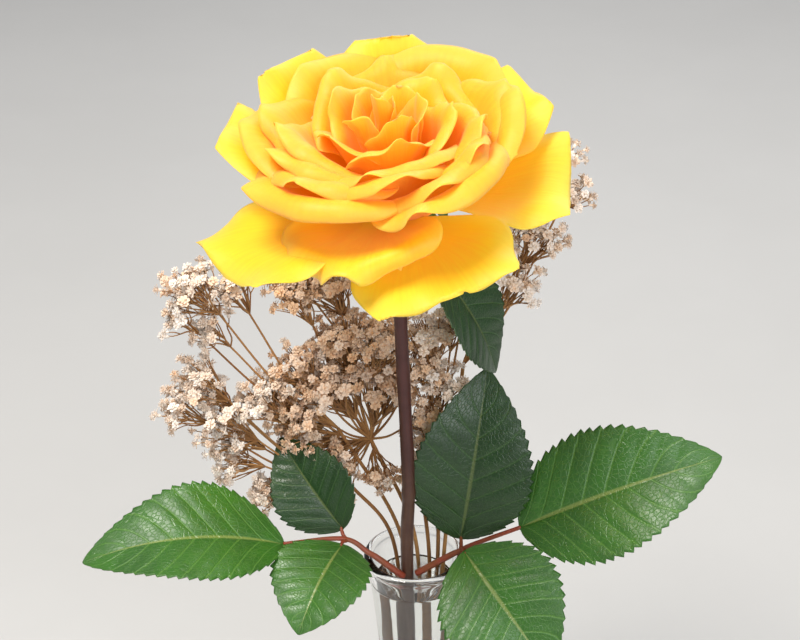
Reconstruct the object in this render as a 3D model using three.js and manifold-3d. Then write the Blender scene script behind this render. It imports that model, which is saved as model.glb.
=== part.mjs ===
// A cut rose with two trifoliate leaves and dried baby's breath, standing in a trumpet-shaped glass bud vase.
// Millimetres, +Z up. The origin is the centre of the vase's foot, on the surface that it stands on.
// -Y is the front, the side that the bloom leans towards.
import * as THREE from "three";
import { mergeVertices } from "three/addons/utils/BufferGeometryUtils.js";
import Module from "manifold-3d";

const wasm = await Module();
wasm.setup();

// ---- Driving dimensions ----

const GAP = 0.3; // clearance between pieces that touch

const vase = {
  height: 165,
  mouthRadius: 18.5, // outside the lip
  lipRadius: 1.6, // of the rounded bead round the mouth
  flare: 0.7, // how far the lip stands out past the wall
  wall: 2.2,
  waistRadius: 9.6,
  waistHeight: 60,
  footRadius: 30,
  footThickness: 4,
  footEdge: 1, // chamfer of the foot's outer edges
  floorHeight: 26, // top of the solid glass under the water
  floorDepth: 7, // depth of the rounded bottom of the hollow
};
const waterDepthBelowRim = 11;

const stem = {
  radius: 2.4,
  leanX: -5.5, // where the bloom sits, measured from the vase's axis
  leanY: 0,
  riseAboveRim: 132, // from the rim to the underside of the hip
};
const bloom = {
  tiltForward: 11, // degrees, towards the front
  tiltLeft: 7,
  hipLength: 11,
  hipRadius: 6.2,
  petalThickness: 0.5,
};
const clawShare = 0.34; // of the petal's width, left at its claw
const rollStart = 0.62; // where the rolled margin starts, as a share of the blank's radius
const sepal = { count: 5, length: 38, width: 6.5, thickness: 0.8 };
const leafThickness = 0.6;
const petioleRadius = 1.1;
const sprigRadius = 0.8; // of a sprig's main stem
const branchRadius = 0.5;
const floretTuft = 3.6; // radius of a small tuft of florets

// Rings of inner petals, from the middle outwards. The first petal of a ring stands at start degrees, 0 to
// the right and -90 to the front. The midline's slope, in degrees above level, is given at the seat, in the
// middle and at the tip. turn sets one edge of each petal over its neighbour's.
const rings = [
  { name: "heart", count: 3, start: 0, seat: 2, length: 40, width: 12, slope: [86, 88, 92], roll: 20, turn: 16 },
  { name: "inner", count: 5, start: 140, seat: 3.4, length: 40, width: 20, slope: [74, 82, 80], roll: 40, turn: 15 },
  { name: "throat", count: 5, start: 275, seat: 4.4, length: 42, width: 31, slope: [54, 78, 70], roll: 60, turn: 12 },
  { name: "cup", count: 5, start: 51, seat: 5.4, length: 46.8, width: 42, slope: [38, 72, 60], roll: 70, turn: 10 },
  { name: "bowl", count: 5, start: 16, seat: 6.4, length: 50, width: 48.7, slope: [26, 66, 52], roll: 80, turn: 9 },
];
const frontGrowth = 0.06; // share by which the petals at the front are longer, and those at the back shorter

// Outer petals, one by one. flat is how much flatter the tip is across than the ring that it stands in.
const outerPetals = [
  { name: "collar_left", azimuth: -148, seat: 6, length: 50, width: 42, slope: [32, 70, 54], roll: 80, turn: 9 },
  { name: "collar_front", azimuth: -90, seat: 6, length: 52, width: 42, slope: [32, 70, 54], roll: 80, turn: 9 },
  { name: "collar_right", azimuth: -36, seat: 6, length: 50, width: 40, slope: [32, 70, 54], roll: 80, turn: 9 },
  { name: "rim_front_left", azimuth: -130, seat: 7.4, length: 57, width: 58, slope: [14, 69, 40], roll: 95 },
  { name: "rim_front_right", azimuth: -56, seat: 7.4, length: 56, width: 54, slope: [14, 71, 42], roll: 90 },
  { name: "rim_right", azimuth: 4, seat: 7.4, length: 51, width: 50, slope: [14, 72, 56], roll: 80 },
  { name: "rim_back_right", azimuth: 58, seat: 7.4, length: 52, width: 54, slope: [12, 68, 62], roll: 60 },
  { name: "rim_back_left", azimuth: 116, seat: 7.4, length: 52, width: 54, slope: [12, 68, 60], roll: 60 },
  { name: "rim_left", azimuth: 172, seat: 7.4, length: 54, width: 52, slope: [12, 68, 50], roll: 80 },
  { name: "guard_front", azimuth: -112, seat: 8.6, length: 49, width: 52, slope: [12, 36, -4], roll: 110, flat: 2 },
  { name: "guard_right", azimuth: -4, seat: 8.6, length: 55, width: 44, slope: [2, 16, 2], roll: 40, flat: 2 },
  { name: "guard_back_right", azimuth: 30, seat: 8.6, length: 54, width: 40, slope: [10, 44, 22], roll: 40, flat: 1.5 },
  { name: "guard_back", azimuth: 92, seat: 8.6, length: 56, width: 46, slope: [8, 63, 58], roll: 40, flat: 1.3 },
  { name: "guard_back_left", azimuth: 136, seat: 8.6, length: 58, width: 42, slope: [8, 59, 48], roll: 40, flat: 1.5 },
  { name: "guard_left", azimuth: 175, seat: 8.6, length: 58, width: 40, slope: [14, 50, 26], roll: 40, flat: 2 },
  { name: "low_left", azimuth: -149, seat: 9.6, length: 60, width: 46, slope: [4, 12, 0], roll: 40, flat: 3 },
  { name: "low_front", azimuth: -74, seat: 9.6, length: 51, width: 50, slope: [0, 6, -10], roll: 40, flat: 3 },
];

// Leaflets: base and tip from the middle of the vase's mouth, and the way that the upper side faces.
const leaflets = [
  {
    name: "left_leaflet_end",
    base: [-47, -6, 8],
    tip: [-118, -20, 10],
    face: [-0.1, -0.35, 1],
    width: 42,
    bow: 9,
  },
  {
    name: "left_leaflet_front",
    base: [-26, -6, 8],
    tip: [-41, -38, -8],
    face: [-0.2, -0.5, 1],
    width: 37,
    bow: 4,
  },
  {
    name: "left_leaflet_back",
    base: [-26, 2, 9],
    tip: [-49, 20, 37],
    face: [-0.5, -0.8, 0.9],
    width: 30,
    bow: 4,
  },
  {
    name: "right_leaflet_end",
    base: [38, -4, 14],
    tip: [108, -8, 47],
    face: [-0.35, -0.8, 0.75],
    width: 47,
    bow: 6,
  },
  {
    name: "right_leaflet_back",
    base: [17, 3, 4],
    tip: [26, 16, 69],
    face: [0, -1, 0.35],
    width: 43,
    bow: 6,
  },
  {
    name: "right_leaflet_front",
    base: [18, -6, 5],
    tip: [49, -36, -27],
    face: [-0.2, -0.7, 0.8],
    width: 46,
    bow: 6,
  },
];
const overLip = vase.mouthRadius - vase.lipRadius; // where a stalk crosses the lip
const onLip = petioleRadius + 1.2; // height of the stalk's middle there
const leftRachis = [
  [-3.8, -4, -8],
  [4 - overLip, -4, 0],
  [-overLip, -3, onLip],
  [-26, -2, 7.6],
  [-45.5, -5.6, 8],
];
const rightRachis = [
  [0.8, -2, -8],
  [overLip - 4, -2, 0],
  [overLip, -2, onLip],
  [22, -2.4, 5.6],
  [36.5, -3.8, 13.4],
];
const upperLeaf = { base: [6, 10, 114], tip: [29, 17, 67], face: [0.75, -0.5, 0.35], width: 30, bow: 4 };
const upperPetiole = [[-3, 1.5, 117], [1, 5, 117.5], [5.4, 9.4, 115]];

// Sprigs of baby's breath. inVase is the stem from its cut end to the mouth: how far to the right and to the
// back as shares of the room inside the glass, then the height from the rim. fork is where it forks, and
// heads are its heads: middle, radius and number of tufts of florets. Heights are above the rim.
const sprigs = [
  {
    name: "sprig_left_low",
    inVase: [[-0.505, 0.365, -132], [-0.513, 0.482, -100], [-0.437, 0.764, -50], [-0.541, 0.608, 0]],
    fork: [-24, 13, 22],
    heads: [
      [-76, 20, 60, 8, 3],
      [-84, 17, 50, 7, 2],
      [-68, 17, 44, 9, 3],
      [-64, 15, 30, 7, 2],
      [-53, 12, 17, 6, 1],
      [-52, 21, 52, 9, 3],
    ],
  },
  {
    name: "sprig_left_high",
    inVase: [[-0.168, 0.645, -132], [-0.09, 0.693, -100], [-0.109, 0.873, -50], [-0.338, 0.811, 0]],
    fork: [-28, 22, 40],
    heads: [
      [-77, 20, 98, 9, 3],
      [-64, 24, 95, 7, 2],
      [-83, 20, 86, 6, 1],
      [-72, 22, 80, 6, 1],
    ],
  },
  {
    name: "sprig_middle",
    inVase: [[0.196, 0.673, -132], [0.301, 0.663, -100], [0.262, 0.873, -50], [0.0, 0.878, 0]],
    fork: [-16, 24, 34],
    heads: [
      [-43, 24, 46, 10, 4],
      [-29, 27, 53, 10, 4],
      [-14, 26, 52, 10, 4],
      [-34, 22, 32, 8, 3],
      [-25, 30, 72, 9, 3],
      [-10, 26, 72, 8, 3],
      [-26, 14, 19, 6, 1],
    ],
  },
  {
    name: "sprig_upper",
    inVase: [[0.533, 0.449, -132], [0.663, 0.422, -100], [0.589, 0.655, -50], [0.338, 0.878, 0]],
    fork: [-6, 32, 54],
    heads: [
      [-31, 35, 90, 9, 3],
      [-44, 34, 96, 7, 2],
      [-17, 36, 94, 9, 3],
    ],
  },
  {
    name: "sprig_right",
    inVase: [[0.673, 0.084, -132], [0.784, 0.03, -100], [0.764, 0.327, -50], [0.608, 0.676, 0]],
    fork: [7, 18, 30],
    heads: [
      [6, 24, 76, 9, 3],
      [8, 22, 57, 8, 3],
      [5, 20, 38, 7, 2],
      [18, 27, 88, 7, 2],
    ],
  },
  {
    name: "sprig_right_high",
    inVase: [[0.589, -0.337, -132], [0.663, -0.422, -100], [0.917, -0.109, -50], [0.77, 0.405, 0]],
    fork: [18, 34, 60],
    heads: [
      [29, 38, 107, 8, 3],
      [43, 38, 108, 8, 3],
      [37, 33, 92, 7, 2],
      [51, 41, 140, 6, 1],
      [54, 38, 126, 6, 2],
    ],
  },
];

// ---- Solids ----

const finestDetail = 0.02; // slivers thinner than this are merged away after the cuts
const finestPetalDetail = 0.06; // the same for the petals, which are cut many times over

const up = new THREE.Vector3(0, 0, 1);
const degrees = THREE.MathUtils.degToRad;
const vector = (p) => new THREE.Vector3(...p);
const aboveRim = ([x, y, z]) => new THREE.Vector3(x, y, vase.height + z);

// A closed geometry as a manifold-3d solid.
function solidOf(geometry) {
  const bare = geometry.clone();
  for (const name of Object.keys(bare.attributes)) {
    if (name !== "position") bare.deleteAttribute(name);
  }
  const merged = mergeVertices(bare, 1e-4);
  return new wasm.Manifold(
    new wasm.Mesh({
      numProp: 3,
      vertProperties: new Float32Array(merged.attributes.position.array),
      triVerts: new Uint32Array(merged.index.array),
    }),
  );
}

function geometryOf(solid) {
  const mesh = solid.getMesh();
  const points = new Float32Array(mesh.numVert * 3);
  for (let i = 0; i < mesh.numVert; i++) {
    points.set(mesh.vertProperties.subarray(i * mesh.numProp, i * mesh.numProp + 3), i * 3);
  }
  const geometry = new THREE.BufferGeometry();
  geometry.setAttribute("position", new THREE.BufferAttribute(points, 3));
  geometry.setIndex(new THREE.BufferAttribute(new Uint32Array(mesh.triVerts), 1));
  return geometry;
}

const join = (solids) => solids.reduce((all, one) => all.add(one));

// The biggest piece left after a cut.
function largest(solid) {
  const pieces = solid.decompose();
  return pieces.reduce((most, one) => (one.volume() > most.volume() ? one : most));
}

// solid, less what stands in its way. Neighbours whose boxes don't meet it are passed over.
function clearOf(solid, neighbours) {
  const box = solid.boundingBox();
  const near = neighbours.filter((other) => {
    const b = other.boundingBox();
    return [0, 1, 2].every((k) => b.min[k] < box.max[k] && b.max[k] > box.min[k]);
  });
  return near.reduce((left, other) => largest(left.subtract(other)), solid);
}

// A thin closed sheet round the surface point(u, v), with u from -1 to 1 across and v from 0 to 1 along.
// Grown, it is the room that the sheet needs: a gap thicker on both sides, and wider at its edges.
function sheet(point, across, along, thickness, grown = false) {
  const step = 1e-3;
  const depth = grown ? thickness + 2 * GAP : thickness;
  const node = (i, j) => point((2 * i) / across - 1, j / along);
  const { clamp } = THREE.MathUtils;
  const rowLength = across + 1;
  const positions = [];
  const faces = [];
  for (const side of [0.5, -0.5]) {
    for (let j = 0; j <= along; j++) {
      for (let i = 0; i <= across; i++) {
        const u = clamp((2 * i) / across - 1, -1 + 2 * step, 1 - 2 * step);
        const v = clamp(j / along, 2 * step, 1 - 2 * step);
        const du = point(u + step, v).sub(point(u - step, v));
        const dv = point(u, v + step).sub(point(u, v - step));
        const normal = du.cross(dv).normalize();
        const place = node(i, j);
        const outward = place.clone().sub(node(clamp(i, 1, across - 1), clamp(j, 1, along - 1)));
        place.addScaledVector(outward.normalize(), grown ? 2 * GAP : 0);
        positions.push(...place.addScaledVector(normal, side * depth));
      }
    }
  }
  const bottom = rowLength * (along + 1);
  const quad = (a, b, c, d) => faces.push(a, b, c, a, c, d);
  const at = (i, j) => j * rowLength + i;
  for (let j = 0; j < along; j++) {
    for (let i = 0; i < across; i++) {
      const [a, b, c, d] = [at(i, j), at(i + 1, j), at(i + 1, j + 1), at(i, j + 1)];
      quad(a, b, c, d);
      quad(bottom + a, bottom + d, bottom + c, bottom + b);
    }
  }
  for (let i = 0; i < across; i++) {
    quad(at(i + 1, 0), at(i, 0), bottom + at(i, 0), bottom + at(i + 1, 0));
    quad(at(i, along), at(i + 1, along), bottom + at(i + 1, along), bottom + at(i, along));
  }
  for (let j = 0; j < along; j++) {
    quad(at(0, j), at(0, j + 1), bottom + at(0, j + 1), bottom + at(0, j));
    quad(at(across, j + 1), at(across, j), bottom + at(across, j), bottom + at(across, j + 1));
  }
  const geometry = new THREE.BufferGeometry();
  geometry.setAttribute("position", new THREE.Float32BufferAttribute(positions, 3));
  geometry.setIndex(faces);
  return solidOf(geometry);
}

// A round rod of one radius along a curve.
function rod(curve, radius, sides, steps) {
  const corners = Array.from({ length: sides }, (_, i) => {
    const angle = (2 * Math.PI * i) / sides;
    return new THREE.Vector2(radius * Math.cos(angle), radius * Math.sin(angle));
  });
  const section = new THREE.Shape(corners);
  return solidOf(new THREE.ExtrudeGeometry(section, { steps, bevelEnabled: false, extrudePath: curve }));
}

const curveThrough = (points) => new THREE.CatmullRomCurve3(points);

function revolve(profile, segments) {
  return solidOf(new THREE.LatheGeometry(profile, segments).rotateX(Math.PI / 2));
}

// ---- Vase and water ----

// Outer radius of the wall at a height: a waist that flares to the mouth above and to the foot below.
function wallRadius(z) {
  const { waistRadius, waistHeight } = vase;
  if (z > waistHeight) {
    const share = (z - waistHeight) / (vase.height - waistHeight);
    return waistRadius + (vase.mouthRadius - vase.flare - waistRadius) * share ** 1.8;
  }
  const share = Math.min(1, (waistHeight - z) / (waistHeight - vase.footThickness));
  return waistRadius + (vase.footRadius - waistRadius) * share ** 5;
}

// Radius of the hollow at a height: the wall's, closed below by a rounded bottom.
function hollowRadius(z) {
  const below = Math.max(0, vase.floorHeight + vase.floorDepth - z) / vase.floorDepth;
  return (wallRadius(z) - vase.wall) * Math.sqrt(Math.max(0, 1 - below * below));
}

function steps(from, to, count) {
  return Array.from({ length: count + 1 }, (_, i) => from + ((to - from) * i) / count);
}

function vaseProfile() {
  const { footRadius, footThickness, footEdge, lipRadius, mouthRadius, height, floorHeight, floorDepth } = vase;
  const at = (r, z) => new THREE.Vector2(r, z);
  const shoulder = height - 2 * lipRadius;
  const lip = steps(-50, 200, 4).map((a) =>
    at(
      mouthRadius - lipRadius + lipRadius * Math.cos(degrees(a)),
      height - lipRadius + lipRadius * Math.sin(degrees(a)),
    ),
  );
  return [
    at(0, 0),
    at(footRadius - footEdge, 0),
    at(footRadius, footEdge),
    ...steps(footThickness, footThickness + 18, 3).map((z) => at(wallRadius(z), z)),
    ...steps(footThickness + 34, shoulder - 1, 4).map((z) => at(wallRadius(z), z)),
    ...lip,
    ...steps(shoulder - 2, floorHeight + floorDepth, 4).map((z) => at(hollowRadius(z), z)),
    ...[0.55, 0.2].map((share) => at(hollowRadius(floorHeight + share * floorDepth), floorHeight + share * floorDepth)),
    at(0, floorHeight),
  ];
}

function waterSolid(stems) {
  const level = vase.height - waterDepthBelowRim;
  const { floorHeight, floorDepth } = vase;
  const wet = (z) => new THREE.Vector2(Math.max(0, hollowRadius(z) - 2 * GAP), z);
  const profile = [
    new THREE.Vector2(0, floorHeight + 2 * GAP),
    ...[0.3, 0.6].map((share) => wet(floorHeight + share * floorDepth)),
    ...steps(floorHeight + floorDepth, level, 4).map(wet),
    new THREE.Vector2(0, level),
  ];
  return clearOf(revolve(profile, 20), stems);
}

// ---- Rose stem, hip and sepals ----

const rimHeight = vase.height;
const hipBase = new THREE.Vector3(stem.leanX, stem.leanY, rimHeight + stem.riseAboveRim);

function stemCurve() {
  return curveThrough([
    new THREE.Vector3(-0.4, -1.2, vase.floorHeight + 6),
    new THREE.Vector3(-0.6, -1.4, vase.waistHeight + 10),
    new THREE.Vector3(-2.6, -1.6, rimHeight),
    new THREE.Vector3(-2.2, -0.8, rimHeight + 32),
    new THREE.Vector3(stem.leanX + 0.6, stem.leanY, rimHeight + 96),
    hipBase,
  ]);
}

// ---- Petals ----

// A repeatable number from -1 to 1 for item i and trait k.
function wobble(i, k) {
  const x = Math.sin(i * 12.9898 + k * 78.233) * 43758.5453;
  return 2 * (x - Math.floor(x)) - 1;
}

const mix = (a, b, t) => a + (b - a) * t;
const smooth = (x) => {
  const t = THREE.MathUtils.clamp(x, 0, 1);
  return t * t * (3 - 2 * t);
};

// The petal's midline, by adding up short steps along a slope that bends from seat to tip.
function midline({ seat, length, slope }) {
  const count = 64;
  const table = [[seat, 0]];
  for (let i = 0; i < count; i++) {
    const a = degrees(slopeAt(slope, (i + 0.5) / count));
    const [r, z] = table[i];
    table.push([r + (Math.cos(a) * length) / count, z + (Math.sin(a) * length) / count]);
  }
  return (t) => {
    const x = t * count;
    const i = THREE.MathUtils.clamp(Math.floor(x), 0, count - 1);
    return [mix(table[i][0], table[i + 1][0], x - i), mix(table[i][1], table[i + 1][1], x - i)];
  };
}

const slopeAt = ([a, b, c], t) => a * (1 - t) ** 2 + 2 * b * t * (1 - t) + c * t * t;

// A petal's surface in the bloom's frame. The blank is a disc drawn in to a narrow claw. Its upper margin
// rolls back, less at the tip, so that the tip comes to a point. The blank is laid along the midline and
// curved across it, round the bloom's axis.
function petalSurface(petal) {
  const { width, slope, azimuth, roll = 0, flat = 1, turn = 7 } = petal;
  const line = midline(petal);
  const heading = degrees(azimuth);
  const out = new THREE.Vector3(Math.cos(heading), Math.sin(heading), 0);
  const side = new THREE.Vector3(-Math.sin(heading), Math.cos(heading), 0);
  return (u, v) => {
    const s = 2 * v - 1;
    let x = u * Math.sqrt(1 - (s * s) / 2);
    let y = s * Math.sqrt(1 - (u * u) / 2);
    const radius = Math.hypot(x, y);
    let drop = 0;
    if (radius > rollStart) {
      const margin = 1 - rollStart;
      const point = 1 - 0.6 * Math.exp(-((x / 0.28) ** 2));
      const angle = Math.max(1e-3, degrees(roll) * smooth((y + 0.1) / 0.6) * point);
      const share = (radius - rollStart) / margin;
      const reach = rollStart + (margin * Math.sin(angle * share)) / angle;
      drop = ((margin * (1 - Math.cos(angle * share))) / angle) * (width / 2);
      x *= reach / radius;
      y *= reach / radius;
    }
    const t = (y + 1) / 2;
    const [r, z] = line(t);
    const lean = degrees(slopeAt(slope, t));
    const bendRadius = Math.max(r, 3.5) * mix(1, flat, t);
    const bend = (x * (width / 2) * mix(clawShare, 1.12, smooth(t / 0.7))) / bendRadius;
    const lateral = (bendRadius + drop) * Math.sin(bend);
    const inward = bendRadius - (bendRadius + drop) * Math.cos(bend) + lateral * Math.sin(degrees(turn));
    return new THREE.Vector3(0, 0, z + inward * Math.cos(lean))
      .addScaledVector(out, r - inward * Math.sin(lean))
      .addScaledVector(side, lateral * Math.cos(degrees(turn)));
  };
}

function ringPetals() {
  return rings.flatMap((ring, k) =>
    Array.from({ length: ring.count }, (_, i) => {
      const azimuth = ring.start + (360 / ring.count) * i;
      const growth = 1 + 0.04 * wobble(i, k + 10) - frontGrowth * Math.sin(degrees(azimuth));
      return {
        ...ring,
        name: `petal_${ring.name}_${i + 1}`,
        azimuth: azimuth + 5 * wobble(i, k),
        length: ring.length * growth,
        width: ring.width * (1 + 0.06 * wobble(i, k + 20)),
      };
    }),
  );
}

// Every petal as {name, solid}, each cut clear of those inside it.
function petals() {
  const all = [...ringPetals(), ...outerPetals.map((p) => ({ ...p, name: `petal_${p.name}` }))];
  const guards = [];
  return all.map((petal) => {
    const surface = petalSurface(petal);
    const solid = clearOf(sheet(surface, 5, 5, bloom.petalThickness), guards);
    guards.push(sheet(surface, 5, 5, bloom.petalThickness, true));
    return { name: petal.name, solid };
  });
}

// ---- Leaves ----

// A leaflet's blade: pointed oval, folded a little along its midrib and bowed along its length.
function leafSurface({ base, tip, face, width, bow }) {
  const start = aboveRim(base);
  const along = aboveRim(tip).sub(start);
  const forward = along.clone().normalize();
  const side = new THREE.Vector3().crossVectors(vector(face), forward).normalize();
  const normal = new THREE.Vector3().crossVectors(forward, side);
  const fold = degrees(10);
  return (u, v) => {
    const half = Math.max(0.5, (width / 2) * Math.sin(Math.PI * THREE.MathUtils.clamp(v, 0, 1) ** 0.8) ** 0.8);
    return start
      .clone()
      .addScaledVector(along, v)
      .addScaledVector(side, -u * half * Math.cos(fold))
      .addScaledVector(normal, Math.abs(u) * half * Math.sin(fold) + 4 * bow * v * (1 - v));
  };
}

const blade = (leaf, grown) => sheet(leafSurface(leaf), 4, 6, leafThickness, grown);

// ---- Baby's breath ----

// Points spread evenly over a ball, as a sunflower's seeds are.
function ballPoints(count) {
  const golden = Math.PI * (3 - Math.sqrt(5));
  return Array.from({ length: count }, (_, i) => {
    const h = 1 - (2 * (i + 0.5)) / count;
    const r = Math.sqrt(1 - h * h);
    return new THREE.Vector3(r * Math.cos(golden * i), r * Math.sin(golden * i), h);
  });
}

// One head: a branch from the fork to its middle, and from there a twig to each tuft of florets.
function headSolids([x, y, z, radius, tufts], fork) {
  const middle = aboveRim([x, y, z]);
  const knee = fork.clone().lerp(middle, 0.5).addScaledVector(up, -0.12 * fork.distanceTo(middle));
  const parts = [rod(new THREE.QuadraticBezierCurve3(fork, knee, middle), branchRadius, 3, 3)];
  for (const spot of ballPoints(tufts)) {
    const centre = middle.clone().addScaledVector(spot, Math.max(1, radius - floretTuft));
    parts.push(
      rod(new THREE.LineCurve3(middle, centre), branchRadius, 3, 1),
      solidOf(new THREE.OctahedronGeometry(floretTuft, 0).translate(...centre)),
    );
  }
  return parts;
}

// The way of a sprig's stem. It keeps its place between the walls of the vase.
function sprigCurve({ inVase, fork }) {
  const inside = inVase.map(([x, y, z]) => {
    const room = hollowRadius(vase.height + z) - sprigRadius;
    return aboveRim([x * room, y * room, z]);
  });
  return curveThrough([...inside, aboveRim(fork)]);
}

function sprigSolid(sprig) {
  const fork = aboveRim(sprig.fork);
  const main = rod(sprigCurve(sprig), sprigRadius, 5, 8);
  const knot = solidOf(new THREE.OctahedronGeometry(1.8 * sprigRadius, 0).translate(...fork));
  return join([main, knot, ...sprig.heads.flatMap((head) => headSolids(head, fork))]);
}

// ---- Materials ----

const finish = (color, roughness, extra = {}) =>
  new THREE.MeshStandardMaterial({ color, roughness, metalness: 0, ...extra });

const materials = {
  glass: finish("#dfe6e6", 0.05, { transparent: true, opacity: 0.35 }),
  water: finish("#e6eef0", 0.02, { transparent: true, opacity: 0.3 }),
  bark: finish("#4a1a14", 0.5),
  sepal: finish("#4f7a2c", 0.6),
  heartPetal: finish("#ffab1e", 0.55),
  petal: finish("#ffd028", 0.55),
  leaf: finish("#2f7a24", 0.45),
  petiole: finish("#8a2a1c", 0.5),
  sprig: finish("#e8c8a0", 0.9),
};

// ---- The object ----

const rose = new THREE.Group();

const bloomGroup = new THREE.Group();
bloomGroup.rotation.set(degrees(bloom.tiltForward), degrees(-bloom.tiltLeft), 0);
bloomGroup.position.copy(hipBase).addScaledVector(up, bloom.hipLength);
rose.add(bloomGroup);
rose.updateMatrixWorld(true);
function piece(name, solid, material, parent = rose) {
  const detail = parent === bloomGroup ? finestPetalDetail : finestDetail;
  const mesh = new THREE.Mesh(geometryOf(largest(solid.simplify(detail))), material);
  mesh.name = name;
  parent.add(mesh);
  return mesh;
}

const inWorld = (solid) => solid.transform(bloomGroup.matrixWorld.elements);

// The hip is an urn under the petals. The sepals hang from its shoulder, bowed out and in again.
function calyxSolid() {
  const { hipLength, hipRadius } = bloom;
  const hip = revolve(
    [
      new THREE.Vector2(0, -hipLength),
      new THREE.Vector2(stem.radius + 0.4, -hipLength),
      new THREE.Vector2(hipRadius * 0.8, -hipLength * 0.75),
      new THREE.Vector2(hipRadius, -hipLength * 0.45),
      new THREE.Vector2(hipRadius * 0.8, -2),
      new THREE.Vector2(0, -2),
    ],
    12,
  );
  const sepals = Array.from({ length: sepal.count }, (_, i) =>
    sheet(
      petalSurface({
        seat: hipRadius - 2,
        length: sepal.length * (1 + 0.1 * wobble(i, 3)),
        width: sepal.width,
        slope: [-28, -62, -112],
        azimuth: -166 + (360 / sepal.count) * i,
        turn: 0,
      }),
      2,
      5,
      sepal.thickness,
    ).translate([0, 0, -3]),
  );
  return join([hip, ...sepals]);
}

const stemSolid = rod(stemCurve(), stem.radius, 8, 12);
const stemGuard = rod(stemCurve(), stem.radius + GAP, 8, 12);
const calyx = calyxSolid();
const petalPieces = petals();
const petalsInWorld = petalPieces.map(({ solid }) => inWorld(solid));
const vaseSolid = revolve(vaseProfile(), 28);

const rachises = [leftRachis, rightRachis, upperPetiole].map((points) => curveThrough(points.map(aboveRim)));
const rachisSolids = rachises.map((curve) => clearOf(rod(curve, petioleRadius, 6, 8), [stemGuard]));
const rachisGuards = rachises.map((curve) => rod(curve, petioleRadius + GAP, 6, 8));
const allLeaves = [...leaflets, { name: "upper_leaf", ...upperLeaf }];
const leafSolids = allLeaves.map((leaf) => clearOf(blade(leaf), [...rachisGuards, stemGuard]));
const leafGuards = allLeaves.map((leaf) => blade(leaf, true));

const sprigBarriers = [stemGuard, inWorld(calyx), ...rachisGuards, ...leafGuards, ...petalsInWorld, vaseSolid];
const sprigSolids = [];
for (const sprig of sprigs) {
  sprigSolids.push(clearOf(sprigSolid(sprig), [...sprigBarriers, ...sprigSolids]));
}

const sprigGuards = sprigs.map((sprig) => rod(sprigCurve(sprig), sprigRadius + GAP, 5, 8));
piece("vase", vaseSolid, materials.glass);
piece("water", waterSolid([stemGuard, ...rachisGuards, ...sprigGuards]), materials.water);
piece("rose_stem", stemSolid, materials.bark);
const stemInBloom = stemGuard.transform(bloomGroup.matrixWorld.clone().invert().elements);
piece("calyx", clearOf(calyx, [stemInBloom]), materials.sepal, bloomGroup);
for (const { name, solid } of petalPieces) {
  const material = name.includes("heart") ? materials.heartPetal : materials.petal;
  piece(name, clearOf(solid, [calyx]), material, bloomGroup);
}
["left_rachis", "right_rachis", "upper_petiole"].forEach((name, i) =>
  piece(name, rachisSolids[i], materials.petiole),
);
allLeaves.forEach(({ name }, i) => piece(name, leafSolids[i], materials.leaf));
sprigs.forEach(({ name }, i) => piece(name, sprigSolids[i], materials.sprig));

export default rose;
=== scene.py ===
# %% [markdown]
# # A cut rose in a bud vase
# One open yellow rose stands in a narrow glass vase, with two of its leaves spread over the lip and dried
# baby's breath behind it. Everything here is a surface worked out with numpy: petals and leaves are sheets
# over a grid, stalks are round profiles carried along a path, and the vase is a profile turned on its axis.
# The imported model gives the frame: where each piece stands and how large the whole thing may be.

# %% Load the frame
import math

import bpy
import numpy as np
from mathutils import Euler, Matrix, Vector


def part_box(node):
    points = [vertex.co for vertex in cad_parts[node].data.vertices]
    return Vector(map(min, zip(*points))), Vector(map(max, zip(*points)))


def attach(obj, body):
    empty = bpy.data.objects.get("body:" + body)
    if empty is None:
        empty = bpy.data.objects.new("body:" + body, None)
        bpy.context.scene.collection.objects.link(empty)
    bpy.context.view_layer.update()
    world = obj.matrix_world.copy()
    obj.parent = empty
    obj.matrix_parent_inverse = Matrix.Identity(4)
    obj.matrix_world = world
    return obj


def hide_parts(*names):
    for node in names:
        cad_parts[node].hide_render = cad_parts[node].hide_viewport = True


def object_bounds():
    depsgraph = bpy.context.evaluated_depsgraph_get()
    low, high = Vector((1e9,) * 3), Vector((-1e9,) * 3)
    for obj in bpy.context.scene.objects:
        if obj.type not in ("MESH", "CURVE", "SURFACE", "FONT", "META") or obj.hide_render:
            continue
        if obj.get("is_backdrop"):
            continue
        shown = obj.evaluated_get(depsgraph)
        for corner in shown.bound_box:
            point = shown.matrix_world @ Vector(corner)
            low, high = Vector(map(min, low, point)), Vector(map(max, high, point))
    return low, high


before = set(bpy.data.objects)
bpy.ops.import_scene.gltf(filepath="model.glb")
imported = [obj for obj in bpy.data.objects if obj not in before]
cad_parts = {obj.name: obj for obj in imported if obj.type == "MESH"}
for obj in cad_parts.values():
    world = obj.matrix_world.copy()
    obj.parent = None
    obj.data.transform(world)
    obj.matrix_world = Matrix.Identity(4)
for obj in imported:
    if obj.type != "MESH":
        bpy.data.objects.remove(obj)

cad_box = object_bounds()
MM = 0.001

# %% [markdown]
# ## Where things stand
# The vase's foot is on the floor and the origin is under its middle. Heights of the plants are easiest to
# think of from the rim, so the rim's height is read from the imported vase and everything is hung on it.

# %% The rim and the bloom's own frame
vase_high = np.array(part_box("vase")[1]) / MM
rim = vase_high[2]
mouth_radius = 18.5
foot_radius = vase_high[0]

hip_base = np.array([-5.5, 0.0, rim + 132.0])
hip_length = 11.0
bloom_turn = np.array(Euler((math.radians(11), 0, 0)).to_matrix() @ Euler((0, math.radians(-7), 0)).to_matrix())
bloom_seat = hip_base + np.array([0, 0, hip_length])


def above_rim(points):
    """Points given from the middle of the mouth, as points from the floor."""
    return np.asarray(points, float) + np.array([0, 0, rim])


def from_bloom(points):
    """Points in the tilted bloom's frame, as points from the floor."""
    return points @ bloom_turn.T + bloom_seat


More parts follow.
